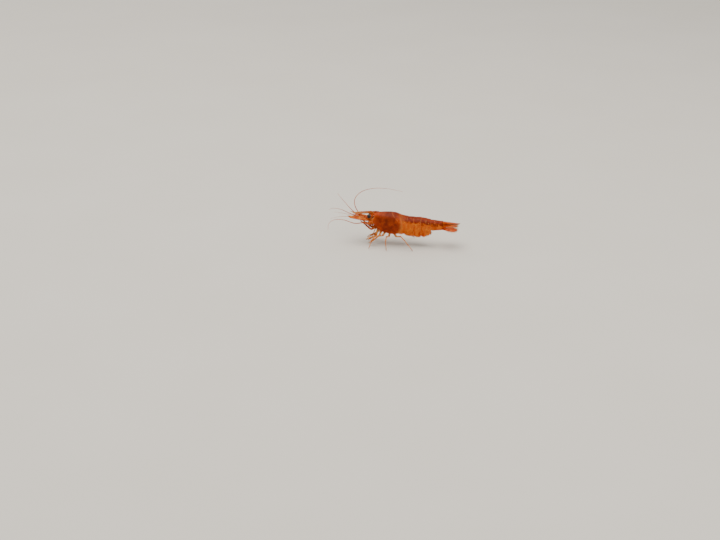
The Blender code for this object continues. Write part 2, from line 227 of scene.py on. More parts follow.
# Half width, height of the back above the axis and depth of the rim below it, in millimetres.
BODY_STATIONS = (-9.3, -8.6, -6.8, -6.4, -5.4, -4.15, -2.45, -0.95, 0, 0.6, 1.6, 3.0, 4.4, 5.6, 6.6, 7.2)
HALF_WIDTH = (0.86, 0.90, 1.08, 1.20, 1.42, 1.60, 1.74, 1.78, 1.84, 1.92, 2.0, 2.0, 1.86, 1.62, 1.3, 1.02)
BACK = (0.86, 0.92, 1.18, 1.30, 1.56, 1.74, 1.72, 1.70, 1.94, 2.10, 2.28, 2.28, 2.12, 1.88, 1.62, 1.40)
DEPTH = (1.18, 1.26, 1.38, 1.90, 2.42, 2.65, 2.68, 2.32, 2.28, 2.36, 2.46, 2.46, 2.30, 1.98, 1.55, 1.10)
CARAPACE_LENGTH = 7.2
SMOOTHING = 0.3


def on_body(points):
    """Rows of (station, out to the left, height above the axis) in millimetres as places in metres."""
    s, y, z = np.asarray(points, float).reshape(-1, 3).T
    x0, z0 = np.interp(s, stations, walk_x), np.interp(s, stations, walk_z)
    pitch = np.radians(np.interp(s, PITCH_STATIONS, PITCH_DEGREES))
    return np.stack((x0 - z * np.sin(pitch), y, z0 + z * np.cos(pitch)), 1) * MM


def body_size(table, s):
    """Reads one of the body's tables at stations s, with its corners smoothed."""
    taps = [np.interp(s + step, BODY_STATIONS, table) for step in (-SMOOTHING, 0, SMOOTHING)]
    return 0.25 * taps[0] + 0.5 * taps[1] + 0.25 * taps[2]


def grid_piece(name, rows, columns, surface):
    """A grid, each of its points put where surface(u, v) says, with u and v from 0 to 1.

    The mesh keeps u as its attribute along and v as its attribute across."""
    bpy.ops.mesh.primitive_grid_add(x_subdivisions=rows, y_subdivisions=columns, size=1, location=(0, 0, 0))
    piece = bpy.context.object
    piece.name = name
    flat = np.empty(len(piece.data.vertices) * 3)
    piece.data.vertices.foreach_get("co", flat)
    flat = flat.reshape(-1, 3) + 0.5
    piece.data.vertices.foreach_set("co", surface(flat[:, 0], flat[:, 1]).ravel())
    piece.data.update()
    for column, attribute in enumerate(("along", "across")):
        values = piece.data.attributes.new(attribute, "FLOAT", "POINT").data
        values.foreach_set("value", flat[:, column].copy())
    return piece


def apply_modifier(piece, kind, **settings):
    bpy.context.view_layer.objects.active = piece
    modifier = piece.modifiers.new(kind.lower(), kind)
    for key, value in settings.items():
        setattr(modifier, key, value)
    bpy.ops.object.modifier_apply(modifier=modifier.name)


def only(piece):
    """Selects this piece alone and makes it active."""
    bpy.ops.object.select_all(action="DESELECT")
    piece.select_set(True)
    bpy.context.view_layer.objects.active = piece


def face_out(piece, merge=1e-7):
    """Merges doubled points and turns all faces outwards."""
    only(piece)
    bpy.ops.object.mode_set(mode="EDIT")
    bpy.ops.mesh.select_all(action="SELECT")
    bpy.ops.mesh.remove_doubles(threshold=merge)
    bpy.ops.mesh.normals_make_consistent(inside=False)
    bpy.ops.object.mode_set(mode="OBJECT")


def thicken(piece, wall, offset=-1):
    """Gives an open sheet its wall, inwards, or to both sides where offset is 0, then rounds it."""
    apply_modifier(piece, "SOLIDIFY", thickness=wall, offset=offset, use_even_offset=True)
    apply_modifier(piece, "SUBSURF", levels=1, render_levels=1)
    only(piece)
    bpy.ops.object.shade_smooth()


def finish_piece(piece, material, slot, *nodes):
    """The piece gets its material, rides on the body and stands for its solids."""
    piece.data.materials.clear()
    piece.data.materials.append(material)
    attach(piece, "root")
    if nodes:
        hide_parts(*nodes)


# Share of a section that is the round back, and the width left at the rim.
BACK_SHARE = 0.56
RIM_SHARE = 0.86


def arch(v, half_width, back, depth):
    """A shell's section: v runs from the left rim over the back to the right rim. Gives (out, height)."""
    side = np.where(v < 0.5, 1.0, -1.0)
    down = np.abs(2 * v - 1)
    angle = np.pi / 2 * (1 - np.minimum(down / BACK_SHARE, 1))
    low = np.maximum(down - BACK_SHARE, 0) / (1 - BACK_SHARE)
    sides = half_width * (1 - (1 - RIM_SHARE) * low**2)
    out = np.where(down < BACK_SHARE, half_width * np.cos(angle), sides)
    height = np.where(down < BACK_SHARE, back * np.sin(angle), -depth * low)
    return side * out, height


def lean(height, back, depth, at_back, at_rim):
    """How far an edge runs forward of its station: nothing at the axis, more to the back and the rim."""
    share = np.where(height > 0, height / back, height / depth)
    return np.where(height > 0, at_back, at_rim) * share**2


# How far the back and the rim run forward at the rear edge and at the front one, and over what length.
# Then the orbits and the corner spines of the front edge.
CARAPACE_REAR = (0.85, 0.75)
CARAPACE_FRONT = (0.0, -0.7)
EDGE_REACH = 2.4
ORBIT_HEIGHT, ORBIT_SIZE, ORBIT_DEPTH = 0.86, 0.42, 0.42
SPINE_HEIGHT, SPINE_SIZE, SPINE_LENGTH, SPINE_SHARPNESS = 0.16, 0.10, 0.42, 14
CARAPACE_WALL = 0.09


def carapace_surface(u, v):
    s = CARAPACE_LENGTH * (1 - u)
    half_width, back, depth = (body_size(t, s) for t in (HALF_WIDTH, BACK, DEPTH))
    out, height = arch(v, half_width, back, depth)
    to_rear = np.clip(1 - s / EDGE_REACH, 0, 1)
    to_front = np.clip(1 - (CARAPACE_LENGTH - s) / EDGE_REACH, 0, 1)
    s = s + to_rear * lean(height, back, depth, *CARAPACE_REAR)
    s = s + to_front * lean(height, back, depth, *CARAPACE_FRONT)
    orbit = ORBIT_DEPTH * np.exp(-(((height - ORBIT_HEIGHT) / ORBIT_SIZE) ** 2))
    spine = SPINE_LENGTH * np.exp(-(((height - SPINE_HEIGHT) / SPINE_SIZE) ** 2))
    s = s - orbit * to_front**2 + spine * to_front**SPINE_SHARPNESS
    return on_body(np.stack((s, out, height), 1))


carapace = grid_piece("carapace_shell", 56, 60, carapace_surface)
face_out(carapace)
thicken(carapace, CARAPACE_WALL * MM)


# What the animal's materials share: places along its body, wet chitin, pigment cells and a fine grain.
def shrimp_coordinates(tree):
    """Station, out and height of a point, in metres, from its place: the carapace's axis is straight."""
    place = add_node(tree, "TexCoord", output="Object")
    start = (AXIS_START[0] * MM, 0, AXIS_START[1] * MM)
    from_start = add_node(tree, "VectorMath", (place, start), operation="SUBTRACT")
    turn = (0, math.radians(PITCH_DEGREES[-1]), 0)
    return add_node(tree, "Mapping", {"Vector": from_start, "Rotation": turn})


def chitin(name, roughness, clearness, depth, alpha=1.0):
    """A material with typical values of wet chitin: a clear skin over a body that lets light through."""
    return start_material(name, {
        "Roughness": roughness, "IOR": 1.45, "Specular IOR Level": 0.09, "Alpha": alpha,
        "Subsurface Weight": clearness, "Subsurface Radius": (1.0, 0.30, 0.12), "Subsurface Scale": depth,
        "Coat Weight": 0.04, "Coat Roughness": 0.15,
    })


def pigment_cells(tree, place, size, share, strength=1.0):
    """Ragged dots, the pigment cells: strength inside, 0 outside. They crowd together here and there.

    size is the spacing of the dots, somewhat coarser than life so that they show."""
    warp = add_node(tree, "TexNoise", {"Vector": place, "Scale": 1 / (0.7 * size), "Detail": 2.0}, "Color")
    shift = add_node(tree, "VectorMath", (warp, (0.5, 0.5, 0.5)), operation="SUBTRACT")
    moved = add_node(tree, "VectorMath", (shift, (0.9 * size,) * 3, place), operation="MULTIPLY_ADD")
    cells = add_node(tree, "TexVoronoi", {"Vector": moved, "Scale": 1 / size})
    crowd = add_node(tree, "TexNoise", {"Vector": place, "Scale": 1 / (6 * size), "Detail": 2.0})
    reach = add_node(tree, "MapRange", (crowd, 0.35, 0.65, 0.25 * share, share))
    inside = add_node(tree, "Math", (reach, cells), operation="SUBTRACT")
    return add_node(tree, "MapRange", (inside, -0.10, 0.10, 0.0, strength))


def lay_colours(tree, ground, *layers):
    """Lays colours over a ground. A layer is (share, colour), from 0, nothing, to 1, all of it."""
    for share, tint in layers:
        ground = add_node(tree, "Mix", {0: share, 6: ground, 7: tint}, 2, data_type="RGBA")
    return ground


def fine_grain(tree, place):
    """The grain of a hard plate, 0.12 mm wide, as a bump. It is coarser than life so that it shows."""
    grain = add_node(tree, "TexNoise", {"Vector": place, "Scale": 1 / (0.12 * MM), "Detail": 2.0})
    return add_node(tree, "Bump", {"Height": grain, "Strength": 0.25, "Distance": 0.02 * MM})


# Chitin over pigment cells: deep red-brown clouds about a millimetre across, fine red dots 0.15 mm apart,
# a fine pale line that runs down ahead of the rear edge, and pale edges.
carapace_chitin, tree, shader = chitin("mottled_red_chitin", roughness=0.42, clearness=0.3, depth=0.5 * MM)
place = shrimp_coordinates(tree)
station = add_node(tree, "SeparateXYZ", (place,), "X")
height = add_node(tree, "SeparateXYZ", (place,), "Z")
clouds = add_node(tree, "TexNoise", {"Vector": place, "Scale": 1 / (1.3 * MM), "Detail": 5.0,
                                     "Roughness": 0.65})
ground = add_node(tree, "ValToRGB", (clouds,),
                  stops=((0.30, "5e1904"), (0.45, "832906"), (0.58, "a1390a"), (0.74, "b64f12")))
# The organs under the shell make its middle browner and darker, and its front is clearer.
centre = add_node(tree, "VectorMath", (place, (3.3 * MM, 0, 0.7 * MM)), "Value", operation="DISTANCE")
organs = add_node(tree, "MapRange", (centre, 1.4 * MM, 3.1 * MM, 0.62, 0.0))
ahead = add_node(tree, "MapRange", (station, 4.9 * MM, 6.6 * MM, 0.0, 0.45))
dots = pigment_cells(tree, place, size=0.15 * MM, share=0.42)
# The pale line runs down and back at about 45 degrees, fades out low on the side and comes and goes.
slant = add_node(tree, "Math", (height, -1.14, station), operation="MULTIPLY_ADD")
aside = add_node(tree, "Math", (slant, 0.163 * MM), operation="SUBTRACT")
aside = add_node(tree, "Math", (aside,), operation="ABSOLUTE")
comes = add_node(tree, "MapRange", (clouds, 0.35, 0.60, 0.25, 0.65))
high = add_node(tree, "MapRange", (height, 0.3 * MM, 1.0 * MM, 0.0, comes))
line = add_node(tree, "MapRange", (aside, 0.02 * MM, 0.10 * MM, high, 0.0))
# The rear edge is pale, least so over the back, and the front edge is pale only low down.
edge = add_node(tree, "Attribute", output="Fac", attribute_name="along")
off_back = add_node(tree, "MapRange", (height, 0.6 * MM, 1.9 * MM, 0.8, 0.32))
rear_edge = add_node(tree, "MapRange", (edge, 0.90, 1.0, 0.0, off_back))
low = add_node(tree, "MapRange", (height, 1.2 * MM, 0.5 * MM, 0.0, 0.85))
front_edge = add_node(tree, "MapRange", (edge, 0.0, 0.06, low, 0.0))
ground = lay_colours(tree, ground, (organs, "501c09"), (ahead, "b34614"), (dots, "661202"),
                     (line, "c0703c"), (rear_edge, "bd6a2a"), (front_edge, "c8823c"))
set_inputs(shader, {"Base Color": ground, "Normal": fine_grain(tree, place)})
finish_piece(carapace, carapace_chitin, "carapace_shell", "carapace")


# ---------------------------------------------------------------- thorax and tail muscle
# The soft body that shows between and below the plates: the breast with its bars between the legs, and
# the muscle of the abdomen. Pale amber flesh under a thin clear skin, one closed form each.

# How far the breast's underside lies above the shield's rim, then how deep the abdomen's underside is: at
# most, and as a share of the plates' depth.
CHANNEL = 0.45
BELLY, BELLY_SHARE = 0.95, 0.62
BREAST_ENDS = (6.95, 0.25)
MUSCLE_ENDS = (0.75, -6.7)
# Room left under the shell, then the height and the spacing of the bars of the underside.
BREAST_GAP, MUSCLE_GAP, MUSCLE_BACK_GAP = 0.2, 0.24, 0.22
BAR_HEIGHT, BREAST_BAR, MUSCLE_BAR = 0.05, 0.95, 1.3


def belly_at(s):
    """Depth of the underside between the plates."""
    depth = body_size(DEPTH, s)
    return np.where(s > 0, depth - CHANNEL, np.minimum(BELLY, BELLY_SHARE * depth))


def rounded_end(u, share):
    """1 along the middle of a form, falling to 0 at both ends as a half ellipse."""
    near = np.clip(1 - np.minimum(u, 1 - u) / share, 0, 1)
    return np.sqrt(1 - near**2)


def closed_body(name, front, rear, rows, columns, section, round_share=0.06, middle=(0.0, 0.0)):
    """A closed form from front to rear station, round its middle line, given by its two heights.

    section(s, angle) gives (out, height from the middle)."""
    def surface(u, v):
        s = front + (rear - front) * u
        out, height = section(s, 2 * np.pi * v)
        close = rounded_end(u, round_share)
        rise = middle[0] + (middle[1] - middle[0]) * u
        return on_body(np.stack((s, out * close, rise + height * close), 1))

    piece = grid_piece(name, rows, columns, surface)
    face_out(piece, 2e-7)
    bpy.ops.object.shade_smooth()
    return piece


def squared(angle, power):
    """Cosine and sine of a rounder or squarer circle."""
    c, s = np.cos(angle), np.sin(angle)
    return np.sign(c) * np.abs(c) ** power, np.sign(s) * np.abs(s) ** power


def breast_section(s, angle):
    across, up = squared(angle, 0.85)
    bars = BAR_HEIGHT * np.cos(2 * np.pi * s / BREAST_BAR)
    out = across * (body_size(HALF_WIDTH, s) - BREAST_GAP) * np.where(up < 0, 1 + 0.35 * up, 1)
    under_rear_edge = s - CARAPACE_REAR[0] * np.clip(1 - s / EDGE_REACH, 0, 1)
    back = body_size(BACK, under_rear_edge) - BREAST_GAP
    return out, up * np.where(up > 0, back, belly_at(s) - bars)


def muscle_section(s, angle):
    across, up = squared(angle, 0.8)
    bars = BAR_HEIGHT * np.cos(2 * np.pi * s / MUSCLE_BAR)
    out = across * (body_size(HALF_WIDTH, s) - MUSCLE_GAP) * np.where(up < 0, 1 + 0.12 * up, 1)
    back = body_size(BACK, np.minimum(s, -0.4)) - MUSCLE_BACK_GAP
    return out, up * np.where(up > 0, back, belly_at(s) - bars)


# Soft amber flesh in fine fibres, which lets more light through than the plates do.
flesh, tree, shader = chitin("amber_flesh_under_clear_skin", roughness=0.42, clearness=0.45, depth=0.7 * MM)
place = shrimp_coordinates(tree)
fibres = add_node(tree, "TexNoise", {"Vector": place, "Scale": 1 / (0.45 * MM), "Detail": 4.0})
tone = add_node(tree, "ValToRGB", (fibres,), stops=((0.3, "a2480f"), (0.55, "bf6a22"), (0.8, "cf8438")))
set_inputs(shader, {"Base Color": tone})
breast = closed_body("breast", *BREAST_ENDS, 60, 40, breast_section)
finish_piece(breast, flesh, "carapace_shell", "carapace")
muscle = closed_body("tail_muscle", *MUSCLE_ENDS, 70, 40, muscle_section)
finish_piece(muscle, flesh, "abdomen_shell")


# ---------------------------------------------------------------- abdomen plates
# Five thin hoops of chitin lie over each other like tiles. The side of the second is the widest and laps
# over the first and the third. Each has rounded, free lower corners, and a rear edge that stands a
# little proud of the next plate.

# From front to rear: each plate's length, how far the back and the rim of each edge run forward, how round
# the corners are and how far the side stands out. Then how far plates lap, tuck in and flare, and the wall.
PLATE_LENGTHS = (0.95, 1.5, 1.7, 1.25, 1.0)
PLATE_EDGES = (CARAPACE_REAR, (0.0, 0.55), (0.0, -0.5), (0.0, -0.45), (0.0, -0.4), (0.0, -0.1))
PLATE_ROUNDING = (0.16, 0.26, 0.30, 0.34, 0.38)
PLATE_PROUD = (0.0, 0.07, 0.0, 0.0, 0.0)
PLATE_LAP, PLATE_REAR_LAP = 0.42, 0.10
PLATE_TUCK, PLATE_FLARE = 0.10, 0.035
PLATE_WALL = 0.08
plate_ends = -np.cumsum((0, *PLATE_LENGTHS))

# Chitin of the abdomen: orange red on the flanks, a dark band of red clouds along the back with small
# pale spots, darker streaks that run down the flanks, and a clear rear edge on each plate.
abdomen_chitin, tree, shader = chitin("banded_red_chitin", roughness=0.44, clearness=0.35, depth=0.5 * MM)
place = shrimp_coordinates(tree)
station = add_node(tree, "SeparateXYZ", (place,), "X")
height = add_node(tree, "SeparateXYZ", (place,), "Z")
clouds = add_node(tree, "TexNoise", {"Vector": place, "Scale": 1 / (0.8 * MM), "Detail": 4.0,
                                     "Roughness": 0.6})
flank = add_node(tree, "ValToRGB", (clouds,), stops=((0.30, "b04308"), (0.50, "c65c10"), (0.72, "d07424")))
# Darker streaks run down the sides and grow stronger towards the rim.
stretched = add_node(tree, "Mapping", {"Vector": place, "Scale": (1.0, 1.0, 0.22)})
streaks = add_node(tree, "TexNoise", {"Vector": stretched, "Scale": 1 / (0.42 * MM), "Detail": 3.0})
low_down = add_node(tree, "MapRange", (height, 0.4 * MM, -1.8 * MM, 0.35, 0.85))
streaks = add_node(tree, "MapRange", (streaks, 0.50, 0.66, 0.0, low_down))
# The back is a dark band with a ragged lower edge and pale spots.
ragged = add_node(tree, "Math", (clouds, 1.8 * MM, -0.35 * MM), operation="MULTIPLY_ADD")
above = add_node(tree, "Math", (height, ragged), operation="SUBTRACT")
band = add_node(tree, "MapRange", (above, 0.0, 0.4 * MM))
back = add_node(tree, "ValToRGB", (clouds,), stops=((0.30, "561503"), (0.50, "732204"), (0.72, "963809")))
dots = pigment_cells(tree, place, size=0.15 * MM, share=0.40, strength=0.7)
on_band = add_node(tree, "MapRange", (above, 0.0, 0.4 * MM, 0.0, 0.5))
spots = pigment_cells(tree, place, size=0.48 * MM, share=0.24, strength=on_band)
# Each rear edge is clear, and the first plate is paler where it slides under the shield, off its back.
edge = add_node(tree, "Attribute", output="Fac", attribute_name="along")
rear_edge = add_node(tree, "MapRange", (edge, 0.965, 1.0, 0.0, 0.6))
off_back = add_node(tree, "MapRange", (height, 0.4 * MM, 1.7 * MM, 0.75, 0.225))
under_shield = add_node(tree, "MapRange", (station, -0.5 * MM, 0.4 * MM, 0.0, off_back))
ground = lay_colours(tree, flank, (streaks, "9c3606"), (band, back), (dots, "7e1a03"),
                     (spots, "c47c40"), (rear_edge, "c8803e"), (under_shield, "bd6a2a"))
set_inputs(shader, {"Base Color": ground, "Normal": fine_grain(tree, place)})


def plate_surface(number):
    """The form of one plate, counted from 1 at the front."""
    front, rear = plate_ends[number - 1 : number + 1]
    at_front, at_rear = PLATE_EDGES[number - 1 : number + 1]
    rounding, side_proud = PLATE_ROUNDING[number - 1], PLATE_PROUD[number - 1]

    def surface(u, v):
        s = front + PLATE_LAP - u * (front - rear + PLATE_LAP + PLATE_REAR_LAP)
        half_width, back, depth = (body_size(t, s) for t in (HALF_WIDTH, BACK, DEPTH))
        proud = PLATE_FLARE * u**6 - PLATE_TUCK * (1 - u) ** 3
        out, height = arch(v, half_width + proud, back + proud, depth)
        low = np.clip(-height / depth, 0, 1)
        wider = 1 + (side_proud * np.clip(3 * low, 0, 1)) / half_width
        corner = 1 - rounding * np.abs(2 * u - 1) ** 2.6
        height = np.where(height < 0, height * corner, height)
        s = s + (1 - u) * lean(height, back, depth, *at_front) + u * lean(height, back, depth, *at_rear)
        return on_body(np.stack((s, out * wider, height), 1))

    return surface


for number in range(1, len(PLATE_LENGTHS) + 1):
    plate = grid_piece(f"plate_{number}", 20, 52, plate_surface(number))
    face_out(plate)
    thicken(plate, PLATE_WALL * MM)
    finish_piece(plate, abdomen_chitin, "abdomen_shell", f"abdomen_{number}")


# The sixth segment is a closed tube, a little flattened from side to side. It narrows to the tail fan.
LAST_FRONT, LAST_REAR = -6.15, -9.4
LAST_DEPTH = 1.40
# It is slimmer in front of its waist, where it slides into the fifth plate.
LAST_WAIST, LAST_SLIMMER = -6.9, 0.07


def last_section(s, angle):
    across, up = squared(angle, 0.86)
    slim = 1 - LAST_SLIMMER * np.clip((s - LAST_WAIST) / 0.3, 0, 1)
    below = np.minimum(body_size(DEPTH, s), LAST_DEPTH)
    back = body_size(BACK, s)
    return across * body_size(HALF_WIDTH, s) * slim, up * np.where(up > 0, back, below) * slim


segment_6 = closed_body("segment_6", LAST_FRONT, LAST_REAR, 40, 40, last_section, 0.05)
finish_piece(segment_6, abdomen_chitin, "abdomen_shell", "abdomen_6")


# ---------------------------------------------------------------- bristles and round segments
# The round forms that repeat all over the animal are each drawn up once, ring by ring: a bristle, a spike,
# a limb segment, a claw's finger and a feeler's ring. Their copies are joined into the pieces that carry
# them.
def turned(name, sides, profile):
    """A round form drawn up from a circle. The profile lists (height, radius)."""
    (height, radius), *rest = profile
    bpy.ops.object.select_all(action="DESELECT")
    start = (0, 0, height)
    bpy.ops.mesh.primitive_circle_add(vertices=sides, radius=radius, fill_type="NGON", location=start)
    bpy.ops.object.transform_apply(location=True, rotation=True, scale=True)
    piece = bpy.context.object
    piece.name = name
    bpy.ops.object.mode_set(mode="EDIT")
    for next_height, next_radius in rest:
        bpy.ops.mesh.extrude_region_move(TRANSFORM_OT_translate={"value": (0, 0, next_height - height)})
        share = next_radius / radius
        bpy.ops.transform.resize(value=(share, share, 1), center_override=(0, 0, next_height))
        height, radius = next_height, next_radius
    bpy.ops.mesh.select_all(action="SELECT")
    bpy.ops.mesh.normals_make_consistent(inside=False)
    bpy.ops.object.mode_set(mode="OBJECT")
    return piece


BRISTLE = turned("bristle", 3, ((0, 1), (0.35, 0.9), (0.7, 0.6), (1.0, 0.12)))
SPIKE = turned("spike", 8, ((0, 1), (0.15, 1.0), (0.4, 0.8), (0.65, 0.52), (0.85, 0.28), (1.0, 0.06)))
SEGMENT = turned("segment", 14, (
    (-0.02, 0.35), (0, 0.62), (0.03, 0.76), (0.08, 0.84), (0.25, 0.91), (0.5, 0.95), (0.75, 0.98),
    (0.9, 1.02), (0.96, 1.0), (0.99, 0.86), (1.01, 0.62), (1.02, 0.3),
))
FINGER = turned("finger", 10, (
    (0, 0.7), (0.1, 0.92), (0.4, 1.0), (0.7, 0.92), (0.88, 0.72), (0.97, 0.4), (1.0, 0.12),
))
RING = turned("ring", 8, ((0, 0.86), (0.12, 0.94), (0.6, 1.0), (0.9, 1.04), (1.0, 0.88)))


def copies_of(master, name, rows, towards=(0, 0, 1), bend=0.0, flat=1.0):
    """One mesh of copies of a round form. A row is (start, end, start radius, end radius), in metres.

    Each copy bends to the side of the direction towards, by bend times its length, and is as thick that
    way as flat times its width. The attribute along runs from 0 to 1 on each copy."""
    form = np.empty(len(master.data.vertices) * 3)
    master.data.vertices.foreach_get("co", form)
    form = form.reshape(-1, 3)
    starts, ends = (np.array([tuple(row[i]) for row in rows], float) for i in (0, 1))
    radii = np.array([(row[2], row[3]) for row in rows], float)
    run = ends - starts
    length = np.linalg.norm(run, axis=1, keepdims=True)
    axis = run / length
    towards = np.broadcast_to(np.asarray(towards, float), run.shape)
    side = np.cross(towards, axis)
    weak = np.linalg.norm(side, axis=1, keepdims=True) < 1e-3
    side = np.where(weak, np.cross((0.3, 0.9, 0.1), axis), side)
    side /= np.linalg.norm(side, axis=1, keepdims=True)
    up = np.cross(axis, side)
    x, y, z = form.T
    radius = radii[:, :1] * (1 - z) + radii[:, 1:] * z
    points = starts[:, None] + run[:, None] * z[:, None]
    points = points + side[:, None] * (radius * x)[..., None] + up[:, None] * (radius * y * flat)[..., None]
    points = points + up[:, None] * (bend * length * z * (1 - z) * -4)[..., None]
    faces = [list(face.vertices) for face in master.data.polygons]
    copied = [[i + k * len(form) for i in face] for k in range(len(rows)) for face in faces]
    mesh = bpy.data.meshes.new(name)
    mesh.from_pydata(points.reshape(-1, 3), [], copied)
    mesh.attributes.new("along", "FLOAT", "POINT").data.foreach_set("value", np.tile(z, len(rows)))
    mesh.update()
    piece = bpy.data.objects.new(name, mesh)
    bpy.context.scene.collection.objects.link(piece)
    only(piece)
    bpy.ops.object.shade_smooth()
    return piece


def join(name, *pieces):
    """Joins pieces into the first, under a new name."""
    bpy.ops.object.select_all(action="DESELECT")
    for piece in pieces:
        piece.select_set(True)
    bpy.context.view_layer.objects.active = pieces[0]
    if len(pieces) > 1:
        bpy.ops.object.join()
    pieces[0].name = name
    return pieces[0]


def through(knots, spacing):
    """Evenly spaced points, spacing metres apart, on a smooth curve through the knots."""
    knots = np.asarray(knots, float)
    ends = np.vstack((2 * knots[0] - knots[1], knots, 2 * knots[-1] - knots[-2]))
    t = np.linspace(0, 1, 40, endpoint=False)[:, None]
    path = []
    for a, b, c, d in zip(ends, ends[1:], ends[2:], ends[3:]):
        bend, twist = 2 * a - 5 * b + 4 * c - d, 3 * b - a - 3 * c + d
        path.append(b + 0.5 * ((c - a) * t + bend * t**2 + twist * t**3))
    path = np.vstack((*path, knots[-1:]))
    run = np.concatenate(([0], np.cumsum(np.linalg.norm(np.diff(path, axis=0), axis=1))))
    steps = np.linspace(0, run[-1], max(3, round(run[-1] / spacing) + 1))
    return np.stack([np.interp(steps, run, path[:, k]) for k in range(3)], 1)


def ringed(name, knots, near, far, spacing):
    """A feeler of many short rings along a curve, from radius near to radius far, in metres."""
    path = through(knots, spacing)
    radii = near + (far - near) * np.linspace(0, 1, len(path)) ** 0.8
    return copies_of(RING, name, list(zip(path, path[1:], radii, radii[1:])))


SIDES = (("left", 1), ("right", -1))


def mirrored(points, sign):
    """Body points of the left side as places in metres, on the right where sign is -1."""
    return on_body([(s, sign * y, z) for s, y, z in points])


def on_side(row, sign):
    """A row for copies_of from body points and radii of the left side, in millimetres."""
    start, end, near, far = row
    return (*mirrored((start, end), sign), near * MM, far * MM)


def chain(joints, radii):
    """Rows for copies_of from joint to joint, with the start and end radius of each in millimetres."""
    return [(a, b, near * MM, far * MM) for a, b, (near, far) in zip(joints, joints[1:], radii)]


# ---------------------------------------------------------------- eyes
# Two stalked compound eyes. The cornea is a wet, nearly black ball of many small lenses, held in a clear
# stalk with red flecks that ends in a paler, brown-pink rim round the ball.
EYE = (7.85, 1.12, 0.95)
STALK_ROOT = (7.1, 0.38, 0.86)
EYE_RADIUS = 0.5 * MM
# How far the stalk's rim reaches past the middle of the ball.
STALK_REACH = 0.02 * MM

# A wet, nearly black skin with a soft shine. Its lenses are 0.05 mm apart, coarser than life so that they
# show.
cornea, tree, shader = start_material("wet_black_cornea", {
    "Base Color": "180a05", "Roughness": 0.22, "IOR": 1.45, "Specular IOR Level": 0.3,
    "Coat Weight": 0.2, "Coat Roughness": 0.06,
})
place = add_node(tree, "TexCoord", output="Object")
lenses = add_node(tree, "TexVoronoi", {"Vector": place, "Scale": 1 / (0.05 * MM), "Randomness": 0.25})
bump = add_node(tree, "Bump", {"Height": lenses, "Strength": 0.35, "Distance": -0.01 * MM})
set_inputs(shader, {"Normal": bump})

# Clear orange skin, browner and a little pink by the rim, with red flecks below it.
stalk_skin, tree, shader = chitin("clear_stalk_with_red_flecks", roughness=0.3, clearness=0.4, depth=0.3 * MM)
along = add_node(tree, "Attribute", output="Fac", attribute_name="along")
place = add_node(tree, "TexCoord", output="Object")
skin = add_node(tree, "ValToRGB", (along,),
                stops=((0.0, "b4541c"), (0.60, "a8400f"), (0.72, "8c4628"), (0.82, "93563c")))
below_rim = add_node(tree, "MapRange", (along, 0.60, 0.68, 1.0, 0.0))
dots = pigment_cells(tree, place, size=0.12 * MM, share=0.45, strength=below_rim)
set_inputs(shader, {"Base Color": lay_colours(tree, skin, (dots, "8c2008"))})

STALK = turned("stalk", 32, (
    (0, 0.46), (0.05, 0.58), (0.3, 0.56), (0.5, 0.68), (0.62, 0.82), (0.74, 0.95), (0.81, 1.0),
    (0.86, 0.995), (0.89, 0.93),
))
for side, sign in SIDES:
    centre, root = (Vector(p) for p in mirrored((EYE, STALK_ROOT), sign))
    outwards = (centre - root).normalized()
    bpy.ops.mesh.primitive_uv_sphere_add(segments=32, ring_count=24, radius=EYE_RADIUS, location=centre,
                                         rotation=outwards.to_track_quat("Z", "Y").to_euler())
    eye = bpy.context.object
    eye.name = f"cornea_{side}"
    bpy.ops.object.transform_apply(location=True, rotation=True, scale=True)
    bpy.ops.object.shade_smooth()
    finish_piece(eye, cornea, "eye", f"eye_{side}")
    rim = centre + outwards * STALK_REACH
    stalk = copies_of(STALK, f"stalk_{side}", [(root, rim, EYE_RADIUS, EYE_RADIUS)])
    finish_piece(stalk, stalk_skin, "eyestalk", f"eyestalk_{side}")


# ---------------------------------------------------------------- rostrum
# The beak of the carapace: a thin clear blade with a keel on each side and saw teeth above and below. It
# grows out of the shield's midline as a low ridge and runs forward over the eyes, a little downwards.

# Stations and sizes in millimetres: the ends, the line of the crest, the ridge on the shield, where the
# blade comes free and where it narrows, the teeth above and below, then the blade, its keels and its root.
ROSTRUM_START, ROSTRUM_TIP = 5.0, 12.2
LINE_START, LINE_HEIGHT, LINE_DROP, LINE_BOW = 5.6, 2.18, 1.30, 0.10
RIDGE_RISE, RIDGE_LENGTH = 0.42, 1.9
FREE_FROM, NARROWS_FROM, NARROWS_OVER = 6.9, 8.2, 4.1
TOOTH, TOOTH_HEIGHT, LOWER_TOOTH_HEIGHT = 0.40, 0.085, 0.08
TEETH_START, LOWER_TEETH_START, TEETH_END = 5.1, 9.3, 12.0
BLADE_DEPTH, BLADE_WALL = 0.62, 0.05
KEEL, KEEL_HEIGHT, KEEL_SPREAD = 0.09, 0.40, 0.12
ROOT_WALL = 0.30


def saw(x, tooth, depth):
    """Teeth that rise slowly and drop steeply, forward."""
    share = (x / tooth) % 1.0
    return depth * np.where(share < 0.85, share / 0.85, (1 - share) / 0.15)


def smooth_step(x):
    x = np.clip(x, 0, 1)
    return x * x * (3 - 2 * x)


